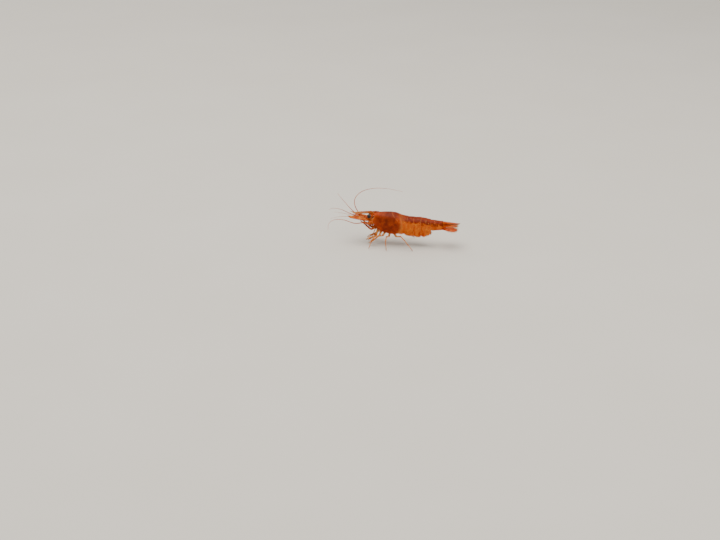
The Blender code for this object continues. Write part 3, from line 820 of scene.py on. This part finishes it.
def rostrum_surface(u, v):
    s = ROSTRUM_START + (ROSTRUM_TIP - ROSTRUM_START) * u
    t = (s - LINE_START) / (ROSTRUM_TIP - LINE_START)
    line = LINE_HEIGHT - LINE_DROP * t + LINE_BOW * np.sin(np.pi * np.clip(t, 0, 1))
    skin = body_size(BACK, s)
    crest = np.minimum(line, skin + RIDGE_RISE * smooth_step((s - ROSTRUM_START) / RIDGE_LENGTH) - 0.02)
    teeth = saw(s, TOOTH, TOOTH_HEIGHT) * smooth_step((s - TEETH_START) / 0.8)
    crest = crest + teeth * smooth_step((TEETH_END - s) / 1.6)
    narrowing = np.clip(1 - (np.maximum(s - NARROWS_FROM, 0) / NARROWS_OVER) ** 2, 0, 1) ** 0.75
    teeth = saw(s, TOOTH, LOWER_TOOTH_HEIGHT) * smooth_step((s - LOWER_TEETH_START) / 0.6)
    under = line - BLADE_DEPTH * narrowing - teeth * smooth_step((TEETH_END - s) / 0.5)
    free = smooth_step((s - FREE_FROM) / 0.5)
    under = (skin - 0.15) * (1 - free) + under * free
    # It closes to a point at its tip, and to another in the shell's thickness at its rear end.
    closing = np.clip((ROSTRUM_TIP - s) / 0.45, 0, 1) ** 0.8 * np.clip((s - ROSTRUM_START) / 0.3, 0, 1) ** 0.5
    middle = np.where(s > LINE_START, line - 0.10, skin - 0.10)
    crest, under = middle + (crest - middle) * closing, middle + (under - middle) * closing
    around = 2 * np.pi * v
    up = (1 + np.cos(around)) / 2
    wall = BLADE_WALL + KEEL * np.exp(-(((up - KEEL_HEIGHT) / KEEL_SPREAD) ** 2)) * free
    wall = wall + ROOT_WALL * (1 - free) * (1 - up) ** 2.5
    across = np.sign(np.sin(around)) * wall * np.abs(np.sin(around)) ** 0.45 * closing**0.5
    return on_body(np.stack((s, across, under + (crest - under) * up), 1))


# Very clear chitin: red where it leaves the shield, pale orange at the tip, with red dots.
rostrum_chitin, tree, shader = chitin("clear_pink_orange_chitin", roughness=0.28, clearness=0.5,
                                      depth=0.3 * MM, alpha=0.80)
place = shrimp_coordinates(tree)
station = add_node(tree, "SeparateXYZ", (place,), "X")
ahead = add_node(tree, "MapRange", (station, 6.4 * MM, 12.2 * MM))
tint = add_node(tree, "ValToRGB", (ahead,), stops=((0.0, "92340a"), (0.28, "b9661e"), (1.0, "ca9050")))
dots = pigment_cells(tree, place, size=0.13 * MM, share=0.40, strength=0.8)
set_inputs(shader, {"Base Color": lay_colours(tree, tint, (dots, "942806"))})

rostrum = grid_piece("rostrum_blade", 220, 26, rostrum_surface)
face_out(rostrum, 2e-7)
bpy.ops.object.shade_smooth_by_angle(angle=math.radians(35))
finish_piece(rostrum, rostrum_chitin, "rostrum_horn", "rostrum")


# ---------------------------------------------------------------- thin blades
# Antennal scales, tail fan and swimmeret lobes are thin leaves of clear chitin with low ribs, fringed
# with feathery bristles. One function shapes them and one sets their fringe.

# A rib's width, as a share of the half width.
RIB_WIDTH = 0.09
# A blade's last row of points stands a little short of its tip, so that its end is round.
LAST_ROW = 0.985
# A bristle's radius at its root, a little more than in life so that the fringe shows.
FRINGE_THIN = 0.012 * MM


def leaf(u, root_share, widest):
    """Share of the full half width at u, for a leaf with a half ellipse for its tip."""
    rising = root_share + (1 - root_share) * np.sin(np.pi / 2 * np.minimum(u / widest, 1))
    falling = np.sqrt(np.clip(1 - (np.maximum(u - widest, 0) / (1 - widest)) ** 2, 0, 1))
    return np.where(u < widest, rising, falling)


def blade_frame(root, along, across):
    along = Vector(along).normalized()
    across = Vector(across)
    across = (across - along * across.dot(along)).normalized()
    return np.array(root), np.array(along), np.array(across), np.array(along.cross(across))


def blade(name, frame, length, edges, wall, crown, ribs, rows=28, columns=16):
    """A leaf from root along its length. edges(u) gives the reach to each side, all in metres."""
    root, along, across, normal = frame

    def surface(u, v):
        u = np.sin(np.pi / 2 * np.minimum(u, LAST_ROW))
        left, right = edges(u)
        w = 2 * v - 1
        reach = np.where(w > 0, left * w, right * w)
        rise = crown * (1 - w**2)
        for at, height in ribs:
            rise = rise + height * np.exp(-(((w - at) / RIB_WIDTH) ** 2)) * (1 - u) ** 0.3
        return root + np.outer(length * u, along) + np.outer(reach, across) + np.outer(rise, normal)

    piece = grid_piece(name, rows, columns, surface)
    face_out(piece)
    thicken(piece, wall, offset=0)
    return piece


def fringe(name, frame, length, edges, count, reach, start, sides=(1, -1)):
    """Bristles round the tip and down the sides of a leaf, from u = start, each swept towards the tip."""
    root, along, across, normal = frame
    rows = []
    for side in sides:
        def on_edge(u):
            left, right = edges(u)
            return root + along * length * u + across * side * float(left if side > 0 else right)

        for k in range(count):
            u = math.sin(math.pi / 2 * (start + (1 - start) * (k + 0.5) / count))
            here, ahead = on_edge(u - 0.004), on_edge(min(u + 0.004, 1))
            edge = (ahead - here) / np.linalg.norm(ahead - here)
            outwards = side * np.cross(edge, normal) * -1
            if np.dot(outwards, across * side + along * u) < 0:
                outwards = -outwards
            swept = outwards + 0.7 * along + 0.12 * normal * math.sin(7.3 * k)
            swept /= np.linalg.norm(swept)
            size = reach * (0.75 + 0.25 * math.sin(math.pi * (k + 0.5) / count))
            size *= 1 + 0.12 * math.sin(5.1 * k)
            base = (here + ahead) / 2 - outwards * 0.02 * MM
            rows.append((base, base + swept * size, FRINGE_THIN, 0.35 * FRINGE_THIN))
    return copies_of(BRISTLE, name, rows, towards=normal, bend=0.05)


def clouded_chitin(name, roughness, clearness, depth, alpha, clouds, tones, shades, dots):
    """Chitin in soft clouds of colour, shaded towards its ends or edges, with red pigment cells on it.

    clouds are (size, detail) and tones a colour ramp's stops. A shade is (attribute, start, end, share,
    colour), and dots are (size, share, strength, colour) or None."""
    material, tree, shader = chitin(name, roughness, clearness, depth, alpha)
    place = add_node(tree, "TexCoord", output="Object")
    size, detail = clouds
    noise = add_node(tree, "TexNoise", {"Vector": place, "Scale": 1 / size, "Detail": detail})
    layers = []
    for attribute, start, end, share, tint in shades:
        way = add_node(tree, "Attribute", output="Fac", attribute_name=attribute)
        layers.append((add_node(tree, "MapRange", (way, start, end, 0.0, share)), tint))
    if dots:
        *cells, tint = dots
        layers.append((pigment_cells(tree, place, *cells), tint))
    ground = lay_colours(tree, add_node(tree, "ValToRGB", (noise,), stops=tones), *layers)
    set_inputs(shader, {"Base Color": ground})
    return material


def thin_chitin(name, middle, pale, dark, alpha, dot_strength, shades=()):
    """The clear chitin of thin blades and bristles, in three tones."""
    dots = (0.14 * MM, 0.40, dot_strength, "841c04") if dot_strength else None
    return clouded_chitin(name, roughness=0.40, clearness=0.35, depth=0.25 * MM, alpha=alpha,
                          clouds=(0.7 * MM, 3.0), tones=((0.32, dark), (0.5, middle), (0.7, pale)),
                          shades=shades, dots=dots)


# Pale clear amber, without dots.
hair = thin_chitin("amber_bristle", "c48a4a", "d2a066", "b87838", alpha=0.8, dot_strength=0)

# Short bristles also stand along the free lower rims of the abdomen's plates, and lean back.
RIM_BRISTLES, RIM_BRISTLE_SPAN = 36, (0.28, 0.97)
RIM_BRISTLE_LENGTHS = (0.12, 0.22)
RIM_BRISTLE_LEAN = (-0.55, 0, 0)
rim_rng = np.random.default_rng(3)
u = np.linspace(*RIM_BRISTLE_SPAN, RIM_BRISTLES)
rows = []
for number in range(1, len(PLATE_LENGTHS) + 1):
    surface = plate_surface(number)
    for rim, above in ((0.0, 0.03), (1.0, 0.97)):
        base, higher = (surface(u, np.full(len(u), v)) for v in (rim, above))
        down = (base - higher) / np.linalg.norm(base - higher, axis=1, keepdims=True)
        lengths = rim_rng.uniform(*RIM_BRISTLE_LENGTHS, (len(u), 1)) * MM
        tips = base + (down + RIM_BRISTLE_LEAN + rim_rng.normal(0, 0.12, (len(u), 3))) * lengths
        rows += [(a - b * 0.02 * MM, c, 0.010 * MM, 0.004 * MM) for a, b, c in zip(base, down, tips)]
rim_hairs = copies_of(BRISTLE, "plate_rim_hairs", rows)
finish_piece(rim_hairs, hair, "abdomen_shell")


# ---------------------------------------------------------------- tail fan
# A narrow telson with a few spinules on its back, and two pairs of uropods that open beside it. The
# outer pair has a hinge line across it near the end.
TAIL_ROOT = -9.45
TELSON_FRONT, TELSON_REAR = -9.2, -12.85
TELSON_MIDDLE = (0.46, 0.27)
# Half width, rise above and depth below the telson's middle line, in millimetres, at its stations.
TELSON_STATIONS = (-12.85, -12.6, -12.0, -11.0, -10.0, -9.4)
TELSON_SIZES = (
    (0.20, 0.25, 0.31, 0.40, 0.49, 0.50),
    (0.09, 0.11, 0.15, 0.22, 0.29, 0.33),
    (0.05, 0.06, 0.08, 0.14, 0.30, 0.44),
)
SPINULES_AT = (-10.8, -11.3, -11.8, -12.25)
# Clear red chitin with strong dots, redder towards the end of each blade.
fin_chitin = thin_chitin("clear_red_fin_chitin", "ab3e05", "c06016", "8e2a05", alpha=0.92,
                         dot_strength=0.8, shades=(("along", 0.55, 1.0, 0.55, "7c1a04"),))
tail_pitch = math.radians(float(np.interp(TAIL_ROOT, PITCH_STATIONS, PITCH_DEGREES)))
backwards = Vector((-math.cos(tail_pitch), 0, -math.sin(tail_pitch)))


def telson_section(s, angle):
    across, up = squared(angle, 0.85)
    half, rise, below = (np.interp(s, TELSON_STATIONS, sizes) for sizes in TELSON_SIZES)
    return across * half, up * np.where(up > 0, rise, below)


telson = closed_body("telson_plate", TELSON_FRONT, TELSON_REAR, 40, 32, telson_section, 0.05, TELSON_MIDDLE)
spinules = []
for s in SPINULES_AT:
    half, rise = (float(np.interp(s, TELSON_STATIONS, sizes)) for sizes in TELSON_SIZES[:2])
    middle = float(np.interp(s, (TELSON_REAR, TELSON_FRONT), TELSON_MIDDLE[::-1]))
    base, tip = (s, 0.6 * half, middle + 0.7 * rise), (s - 0.15, 0.62 * half, middle + rise)
    spinules += [on_side((base, tip, 0.026, 0.01), sign) for _, sign in SIDES]
for k in range(-4, 5):
    near, far = (TELSON_REAR + 0.08, 0.042 * k, 0.27), (TELSON_REAR - 0.32 + 0.03 * abs(k), 0.06 * k, 0.25)
    spinules.append(on_side((near, far, 0.020, 0.005), 1))
telson = join("telson_plate", telson, copies_of(SPIKE, "telson_spinules", spinules))
finish_piece(telson, fin_chitin, "tail_fan", "telson")

# A short stout stem with a thorn carries both blades of a side, and a comb of thorns marks the hinge line.
STEM = ((-9.15, 0.56, -0.50), (-9.95, 0.90, -0.62), 0.32, 0.40)
STEM_THORN = ((-9.80, 1.10, -0.84), (-10.15, 1.24, -0.90), 0.08, 0.02)
COMB_TEETH, COMB_AT, COMB_WIDTH = 14, 0.78, 0.85
UROPODS = (
    # name, length, half width, root share, degrees of splay, droop and roll, root's way out and height
    ("inner", 3.45, 0.46, 0.5, 5, 0, 20, 0.44, -0.08),
    ("outer", 3.65, 0.60, 0.4, 19, -2, 36, 0.86, -0.66),
)
for name, length, half_width, root_share, splay, droop, roll, out, height in UROPODS:
    splay, droop, roll = (math.tan(math.radians(angle)) for angle in (splay, droop, roll))
    for side, sign in SIDES:
        turn = backwards + Vector((0, sign * splay, -droop))
        root = on_body([(TAIL_ROOT + 0.25, sign * out, height)])[0]
        fin_frame = blade_frame(root, turn, (0, 1, -sign * roll))

        def fin_edges(u, half=half_width * MM, share=root_share, outer=name == "outer", sign=sign):
            full = half * leaf(u, share, 0.55)
            straight = half * leaf(u, share, 0.72) if outer else full
            return (straight, full) if sign > 0 else (full, straight)

        outline = fin_frame, length * MM, fin_edges
        fin = blade(f"fin_{name}_{side}", *outline, wall=0.08 * MM, crown=0.06 * MM,
                    ribs=((0.0, 0.06 * MM), (0.45 * sign, 0.035 * MM)))
        hairs = fringe(f"fin_hairs_{name}_{side}", *outline, count=80, reach=0.60 * MM, start=0.18)
        parts = [fin]
        if name == "outer":
            root, along, across, normal = fin_frame
            parts.append(copies_of(SEGMENT, "stem", [on_side(STEM, sign)], normal, flat=0.6))
            parts.append(copies_of(SPIKE, "stem_thorn", [on_side(STEM_THORN, sign)]))
            comb = []
            for w in np.linspace(-COMB_WIDTH, COMB_WIDTH, COMB_TEETH):
                u = COMB_AT + 0.03 * math.cos(3 * w)
                base = root + (along * length * u + across * half_width * 0.78 * w + normal * 0.05) * MM
                comb.append((base, base + (along + 0.3 * normal) * 0.13 * MM, 0.022 * MM, 0.006 * MM))
            parts.append(copies_of(SPIKE, "comb", comb))
        fin = join(f"fin_{name}_{side}", *parts)
        finish_piece(fin, fin_chitin, "tail_fan", f"uropod_{name}_{side}")
        finish_piece(hairs, hair, "tail_fan")


# ---------------------------------------------------------------- swimmerets
# Five pairs of paddles hang under the abdomen: a short stem with two thin leaves, each with a long
# fringe, swept back.
SWIMMERETS = (
    # station, distance out, length, backward sweep in degrees
    (-0.50, 0.60, 1.7, 14),
    (-1.70, 0.58, 1.9, 16),
    (-3.20, 0.54, 1.85, 18),
    (-4.65, 0.44, 1.6, 20),
    (-5.75, 0.33, 1.2, 22),
)
STEM_SHARE = 0.42
LOBES = (
    # name, way out, sweep, size: the outer leaf is the larger
    ("outer", 0.13, -0.10, 1.0),
    ("inner", -0.09, 0.06, 0.82),
)
# Clear orange chitin, thinner and paler than the tail fan's.
swimmeret_chitin = thin_chitin("clear_orange_swimmeret", "bb6326", "cf8844", "a64414",
                               alpha=0.85, dot_strength=0.7)
for number, (s, out, length, sweep) in enumerate(SWIMMERETS, 1):
    for side, sign in SIDES:
        turn = math.radians(sweep + 4 * sign)
        down = Vector((-math.sin(turn), 0, -math.cos(turn)))
        root = Vector(on_body([(s, sign * out, 0.1 - float(belly_at(s)))])[0])
        knee = root + down * (length * STEM_SHARE + 0.25) * MM
        stem = copies_of(SEGMENT, "stem", [(root, knee, 0.24 * MM, 0.20 * MM)], towards=(0, 1, 0), flat=0.6)
        parts, hairs = [stem], []
        for name, apart, swept, size in LOBES:
            lobe = length * (1 - STEM_SHARE) * 1.12 * size * MM
            lobe_root = np.array(knee) + np.array((0, sign * apart * 0.6, 0.1)) * MM
            lobe_frame = blade_frame(lobe_root, down + Vector((swept, sign * apart, 0)), (1, 0.25 * sign, 0))

            def lobe_edges(u, half=0.30 * MM * size):
                full = half * leaf(u, 0.5, 0.45)
                return full, full

            outline = lobe_frame, lobe, lobe_edges
            parts.append(blade(f"lobe_{name}", *outline, wall=0.07 * MM, crown=0.03 * MM,
                               ribs=((0.0, 0.04 * MM),), rows=14, columns=8))
            hairs.append(fringe(f"lobe_hairs_{name}", *outline, count=22, reach=0.34 * MM, start=0.15))
        paddle = join(f"swimmeret_{number}_{side}", *parts)
        finish_piece(paddle, swimmeret_chitin, "swimmeret", f"pleopod_{number}_{side}")
        paddle_hair = join(f"swimmeret_hairs_{number}_{side}", *hairs)
        finish_piece(paddle_hair, hair, "swimmeret")


# ---------------------------------------------------------------- antennules
# The first pair of feelers, side by side under the rostrum: a stout stalk of three segments with a ring
# of bristles at each joint and a thorn at its side, then two fine ringed whips, the outer one stouter.
ANTENNULE = ((7.2, 0.46, 0.10), (9.1, 0.52, 0.22), (10.4, 0.56, 0.34), (11.3, 0.6, 0.42))
ANTENNULE_RADII = (0.34, 0.27, 0.22)
SIDE_THORN = ((7.4, 0.74, 0.16), (8.85, 0.92, 0.30), 0.10, 0.02)
JOINT_BRISTLES = 14
WHIPS = (
    # name, radius at the root and at the tip, knots
    ("outer", 0.095, 0.020,
     ((11.2, 0.68, 0.46), (12.9, 1.6, 1.4), (14.4, 2.7, 2.3), (15.8, 4.2, 2.9), (16.6, 5.8, 3.1))),
    ("inner", 0.065, 0.016, ((11.2, 0.54, 0.38), (13.1, 0.8, 0.05), (14.9, 1.4, -0.1), (16.6, 2.3, -0.45))),
)

# Orange-red chitin, redder at the front of each ring.
feeler_chitin = clouded_chitin(
    "ringed_orange_red_chitin", roughness=0.36, clearness=0.35, depth=0.2 * MM, alpha=1.0,
    clouds=(1.3 * MM, 2.0), tones=((0.35, "9c340c"), (0.55, "bd5c1e"), (0.7, "cf8040")),
    shades=(("along", 0.78, 0.95, 0.7, "861e04"),), dots=(0.13 * MM, 0.40, 0.7, "8e2204"))

for side, sign in SIDES:
    joints = mirrored(ANTENNULE, sign)
    segments = chain(joints, [(radius, 0.92 * radius) for radius in ANTENNULE_RADII])
    bristles = []
    for joint, radius in zip(joints[1:], ANTENNULE_RADII):
        for k in range(JOINT_BRISTLES):
            angle = 2 * math.pi * k / JOINT_BRISTLES
            y, z = math.cos(angle), math.sin(angle)
            base = Vector(joint) + Vector((-0.05, y * radius * 0.9, z * radius * 0.9)) * MM
            tip = base + Vector((0.26, y * 0.16, z * 0.16)) * MM
            bristles.append((base, tip, 0.014 * MM, 0.005 * MM))
    stalk = join(f"feeler_stalk_{side}", copies_of(SEGMENT, "stalk_segments", segments),
                 copies_of(SPIKE, "side_thorn", [on_side(SIDE_THORN, sign)], bend=0.03),
                 copies_of(BRISTLE, "stalk_bristles", bristles))
    finish_piece(stalk, feeler_chitin, "feeler", f"antennule_{side}")
    for name, near, far, knots in WHIPS:
        whip = ringed(f"{name}_whip_{side}", mirrored(knots, sign), near * MM, far * MM, 0.13 * MM)
        finish_piece(whip, feeler_chitin, "feeler", f"antennule_{name}_{side}")


# ---------------------------------------------------------------- antennal scales
# A thin stiff blade beside each feeler stalk: its outer edge is straight and thickened and ends in a
# tooth, its inner edge is round and thickly fringed.
SCALE_ROOT = (7.45, 1.20, -0.05)
SCALE_TIP = (12.6, 1.78, 0.44)
SCALE_HALF_WIDTH = 0.50
# Reach of the straight outer edge, as a share of the half width, at shares of the length.
SCALE_OUTER_AT = (0, 0.03, 0.08, 0.2, 0.5, 0.86, 0.94, 0.98, 1.0)
SCALE_OUTER = (0.05, 0.32, 0.58, 0.8, 0.88, 0.78, 0.52, 0.28, 0.05)
# The tooth's base, as shares of the length and the half width, and how high it sits in the blade.
TOOTH_ALONG, TOOTH_ACROSS, TOOTH_RISE = 0.80, 0.70, 0.035
# Clear orange chitin, red along its thick outer edge.
scale_chitin = thin_chitin("clear_orange_blade_chitin", "b2560c", "c87a20", "983c04", alpha=0.93,
                           dot_strength=0.7, shades=(("across", 0.80, 0.97, 0.75, "7c1a04"),))
for side, sign in SIDES:
    root, tip = (Vector(p) for p in mirrored((SCALE_ROOT, SCALE_TIP), sign))
    long = (tip - root).length
    root, along, across, normal = blade_frame(root, tip - root, (0, sign, -0.55))
    normal = normal * sign

    def scale_edges(u, half=SCALE_HALF_WIDTH * MM):
        return half * np.interp(u, SCALE_OUTER_AT, SCALE_OUTER), half * leaf(u, 0.10, 0.42)

    outline = (root, along, across, normal), long, scale_edges
    scale = blade(f"scale_{side}", *outline, wall=0.09 * MM, crown=0.05 * MM,
                  ribs=((0.15, 0.06 * MM), (0.92, 0.05 * MM)), rows=30, columns=16)
    corner = root + along * long * TOOTH_ALONG
    corner += (across * SCALE_HALF_WIDTH * TOOTH_ACROSS + normal * TOOTH_RISE) * MM
    point = corner + (along + 0.08 * across) * 0.66 * MM
    scale = join(f"scale_{side}", scale, copies_of(SPIKE, "tooth", [(corner, point, 0.05 * MM, 0.01 * MM)]))
    finish_piece(scale, scale_chitin, "antennal_scale", f"antennal_scale_{side}")
    hairs = fringe(f"scale_hairs_{side}", *outline, count=90, reach=0.50 * MM, start=0.12, sides=(-1,))
    finish_piece(hairs, hair, "antennal_scale")


# ---------------------------------------------------------------- antennae
# The second, long pair of feelers: two stout base segments below the scale, then one long ringed whip.
# The left whip sweeps forward and out, the right one arches up and back over the body.
ANTENNA_BASE = (
    # start, end, start radius, end radius: a stout block in the head, then two round segments
    ((6.9, 0.86, -0.52), (7.9, 1.14, -0.38), 0.36, 0.48),
    ((7.50, 1.22, -0.82), (8.35, 1.44, -0.70), 0.32, 0.30),
    ((8.28, 1.43, -0.71), (9.02, 1.64, -0.60), 0.25, 0.18),
)
BASE_THORN = ((7.6, 1.52, -0.80), (8.4, 1.76, -0.68), 0.09, 0.015)
ANTENNA = {
    "left": ((8.85, 1.60, -0.62), (10.9, 2.85, -0.6), (13.2, 4.0, 0.3), (15.1, 5.6, 0.7),
             (16.1, 7.6, 0.3), (15.9, 9.36, -0.5)),
    "right": ((8.85, 1.60, -0.62), (10.5, 3.0, -0.45), (12.0, 3.9, 1.2), (12.2, 5.2, 2.7),
              (10.8, 6.7, 4.0), (8.2, 8.0, 4.6), (5.0, 8.8, 4.6), (1.6, 9.2, 4.2)),
}
for side, sign in SIDES:
    segments = copies_of(SEGMENT, "base_segments", [on_side(row, sign) for row in ANTENNA_BASE], flat=0.95)
    thorn = copies_of(SPIKE, "base_thorn", [on_side(BASE_THORN, sign)])
    base = join(f"antenna_stalk_{side}", segments, thorn)
    finish_piece(base, feeler_chitin, "feeler", f"antenna_base_{side}")
    whip = ringed(f"antenna_{side}", mirrored(ANTENNA[side], sign), 0.125 * MM, 0.020 * MM, 0.15 * MM)
    finish_piece(whip, feeler_chitin, "feeler", f"antenna_near_{side}", f"antenna_far_{side}")


# ---------------------------------------------------------------- mouthparts
# Jaws and feeding limbs packed under the head: the jaws, which show as small overlapping plates, and the
# third maxillipeds, a pair of bristly limbs of three segments held forward.
# Clear red-brown chitin, darker than the legs'.
mouth_chitin = thin_chitin("clear_red_brown_chitin", "a4440e", "b8641e", "862806",
                           alpha=0.96, dot_strength=0.7)

JAW_PLATES = (
    # start, end, radius
    ((7.0, 0.42, -0.75), (7.35, 0.26, -1.45), 0.36),
    ((6.7, 0.55, -0.95), (7.15, 0.40, -1.75), 0.30),
    ((6.4, 0.66, -1.2), (6.8, 0.50, -1.95), 0.28),
    ((6.9, 0.75, -0.7), (7.7, 0.7, -1.25), 0.24),
)
MAXILLIPED = ((6.0, 0.55, -1.65), (7.2, 0.76, -2.36), (8.5, 0.66, -1.48), (9.9, 0.50, -0.62))
MAXILLIPED_RADII = ((0.26, 0.24), (0.23, 0.19), (0.18, 0.08))
plates = [on_side((a, b, radius, 0.8 * radius), sign) for _, sign in SIDES for a, b, radius in JAW_PLATES]
jaws = copies_of(SEGMENT, "jaws", plates, towards=(1, 0, 0.4), flat=0.5)
finish_piece(jaws, mouth_chitin, "limb", "mouthparts")

limb_rng = np.random.default_rng(7)


def bristled(rows, count, reach, radius, towards):
    """Bristles scattered along segments, leaning to their ends and to the side given."""
    found = []
    for a, b, near, far in rows:
        a, b = np.array(a), np.array(b)
        axis = (b - a) / np.linalg.norm(b - a)
        for t in limb_rng.uniform(0.1, 0.98, count):
            out = np.array(towards, float) + limb_rng.normal(0, 0.45, 3)
            out -= axis * np.dot(out, axis)
            out /= np.linalg.norm(out)
            base = a + (b - a) * t + out * 0.9 * (near + (far - near) * t)
            tip = base + (out + 1.1 * axis) * reach * limb_rng.uniform(0.6, 1.0)
            found.append((base, tip, radius, 0.3 * radius))
    return copies_of(BRISTLE, "limb_bristles", found)


for side, sign in SIDES:
    rows = chain(mirrored(MAXILLIPED, sign), MAXILLIPED_RADII)
    limb = join(f"maxilliped_limb_{side}", copies_of(SEGMENT, "maxilliped_segments", rows),
                bristled(rows, 36, 0.22 * MM, 0.011 * MM, (0.2, -0.4 * sign, -0.8)))
    finish_piece(limb, mouth_chitin, "limb", f"maxilliped_{side}")


# ---------------------------------------------------------------- claws and legs
# Five pairs of legs. The first two end in small spoon-shaped claws with brushes, which comb food off
# the ground, and are held folded under the head. The other three walk: thigh, shin and foot with a
# row of spines below, and a hooked toe that stands on the floor.

# Thin, clear amber chitin. Each segment is redder at both its ends, by the joints.
limb_chitin = clouded_chitin(
    "clear_amber_limb_chitin", roughness=0.34, clearness=0.4, depth=0.25 * MM, alpha=0.94,
    clouds=(0.6 * MM, 3.0), tones=((0.35, "b5641f"), (0.55, "c88238"), (0.75, "d39a55")),
    shades=(("along", 0.14, 0.0, 0.8, "8e2a06"), ("along", 0.86, 1.0, 0.8, "8e2a06")),
    dots=(0.17 * MM, 0.32, 0.75, "8a2204"))

REAR_EDGE_X = AXIS_START[0]
CLAWS = (
    # name, hip as (station, out), joints as (ahead of the shield's rear edge, out, above the floor), palm
    ("claw_1", (5.6, 0.6), ((6.1, 1.1, 2.35), (6.75, 1.35, 1.9), (7.4, 1.15, 1.6), (8.2, 0.9, 1.2)), 0.27),
    ("claw_2", (4.7, 0.7), ((5.3, 1.75, 2.5), (5.95, 2.3, 2.1), (6.65, 2.2, 1.5), (7.45, 1.95, 0.8)), 0.23),
)
WALKING_LEGS = (
    # the last number is how far the right foot steps ahead of the left one
    ("leg_3", (3.8, 0.75), ((4.5, 1.9, 2.60), (6.0, 3.1, 2.85), (6.75, 3.75, 2.0), (7.3, 4.25, 0.3)), 0.45),
    ("leg_4", (2.8, 0.75), ((2.95, 2.0, 2.60), (3.35, 3.6, 3.0), (3.45, 4.4, 2.1), (3.2, 4.95, 0.3)), -0.55),
    ("leg_5", (1.8, 0.75), ((1.25, 2.0, 2.60), (0.1, 3.3, 3.15), (-0.9, 3.85, 2.4), (-2.75, 4.3, 0.3)), 0.6),
)
HIP_RADII = ((0.46, 0.40), (0.31, 0.225))
LEG_RADII = ((0.185, 0.16), (0.145, 0.13), (0.12, 0.065))
PALM_SHARE = 0.46
BRUSH_HAIRS, BRUSH_LENGTH = 30, 0.40
TOE_REACH = 0.16
DOWN = Vector((0, 0, -1))


def hip_rows(hip, first, sign):
    """The hip segment and the short one after it, from the breast to the first free joint."""
    s, out = hip
    belly = float(belly_at(s))
    ends = (s, out - 0.05, 0.25 - belly), (s, out + 0.15, -belly - 0.5)
    top, knee = (Vector(p) for p in mirrored(ends, sign))
    return chain((top, knee, first), HIP_RADII)


def leg_joints(places, sign, stride=0.0):
    """Joints in metres. A stride moves the foot ahead, and each joint above it by less."""
    steps = np.linspace(0, stride, len(places))
    return [Vector((REAR_EDGE_X + x + step, sign * y, z)) * MM for step, (x, y, z) in zip(steps, places)]


for side, sign in SIDES:
    for name, hip, places, palm_radius in CLAWS:
        first, elbow, wrist, tip = leg_joints(places, sign)
        palm = wrist.lerp(tip, PALM_SHARE)
        wide = palm_radius * MM
        radii = (0.195, 0.18), (0.13, 0.85 * palm_radius), (0.85 * palm_radius, palm_radius)
        rows = hip_rows(hip, first, sign) + chain((first, elbow, wrist, palm), radii)
        forward = (tip - wrist).normalized()
        across = forward.cross(-DOWN).normalized()
        upward = across.cross(forward)
        fingers, inwards, brushes = [], [], []
        for up in (1, -1):
            start = palm + (upward * up * 0.48 - forward * 0.25) * wide
            end = tip + upward * up * 0.16 * wide
            fingers.append((start, end, 0.52 * wide, 0.40 * wide))
            inwards.append(-up * upward)
            for k in range(BRUSH_HAIRS):
                angle = 2 * math.pi * k / BRUSH_HAIRS
                spread = (0.20 + 0.12 * (k % 3)) * (upward * math.sin(angle) + across * math.cos(angle))
                base = end - forward * (0.03 + 0.05 * (k % 2)) * MM
                brushes.append((base, base + (forward + spread) * BRUSH_LENGTH * MM, 0.012 * MM, 0.004 * MM))
        leg = join(f"{name}_limb_{side}", copies_of(SEGMENT, "claw_segments", rows),
                   copies_of(FINGER, "fingers", fingers, towards=inwards, bend=0.14, flat=0.8),
                   copies_of(BRISTLE, "brushes", brushes), bristled(rows[2:], 8, 0.16 * MM, 0.010 * MM, DOWN))
        finish_piece(leg, limb_chitin, "limb", f"{name}_{side}")

    for name, hip, places, stride in WALKING_LEGS:
        joints = leg_joints(places, sign, stride if side == "right" else 0.0)
        rows = hip_rows(hip, joints[0], sign) + chain(joints, LEG_RADII)
        ankle = joints[-1]
        shin = (ankle - joints[-2]).normalized()
        toe = Vector((ankle.x, ankle.y, 0)) + Vector((shin.x, shin.y, 0)).normalized() * TOE_REACH * MM
        spines = []
        for (a, b, near, far), count in ((rows[2], 3), (rows[4], 9)):
            along = (b - a).normalized()
            below = DOWN - along * DOWN.dot(along)
            below.normalize()
            for k in range(count):
                t = (k + 1) / (count + 0.6)
                base = a.lerp(b, t) + below * 0.85 * (near + (far - near) * t)
                spines.append((base, base + (along + below) * 0.13 * MM, 0.02 * MM, 0.004 * MM))
        hook = copies_of(SPIKE, "toe", [(ankle, toe, 0.07 * MM, 0.03 * MM)], towards=-shin, bend=-0.12)
        leg = join(f"{name}_limb_{side}", copies_of(SEGMENT, "leg_segments", rows), hook,
                   copies_of(SPIKE, "spines", spines), bristled(rows[2:], 9, 0.13 * MM, 0.009 * MM, DOWN))
        finish_piece(leg, limb_chitin, "limb", f"{name}_{side}")


# The forms that were only copied are taken away.
for form in (BRISTLE, SPIKE, SEGMENT, FINGER, RING, STALK):
    bpy.data.objects.remove(form)


low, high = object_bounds()
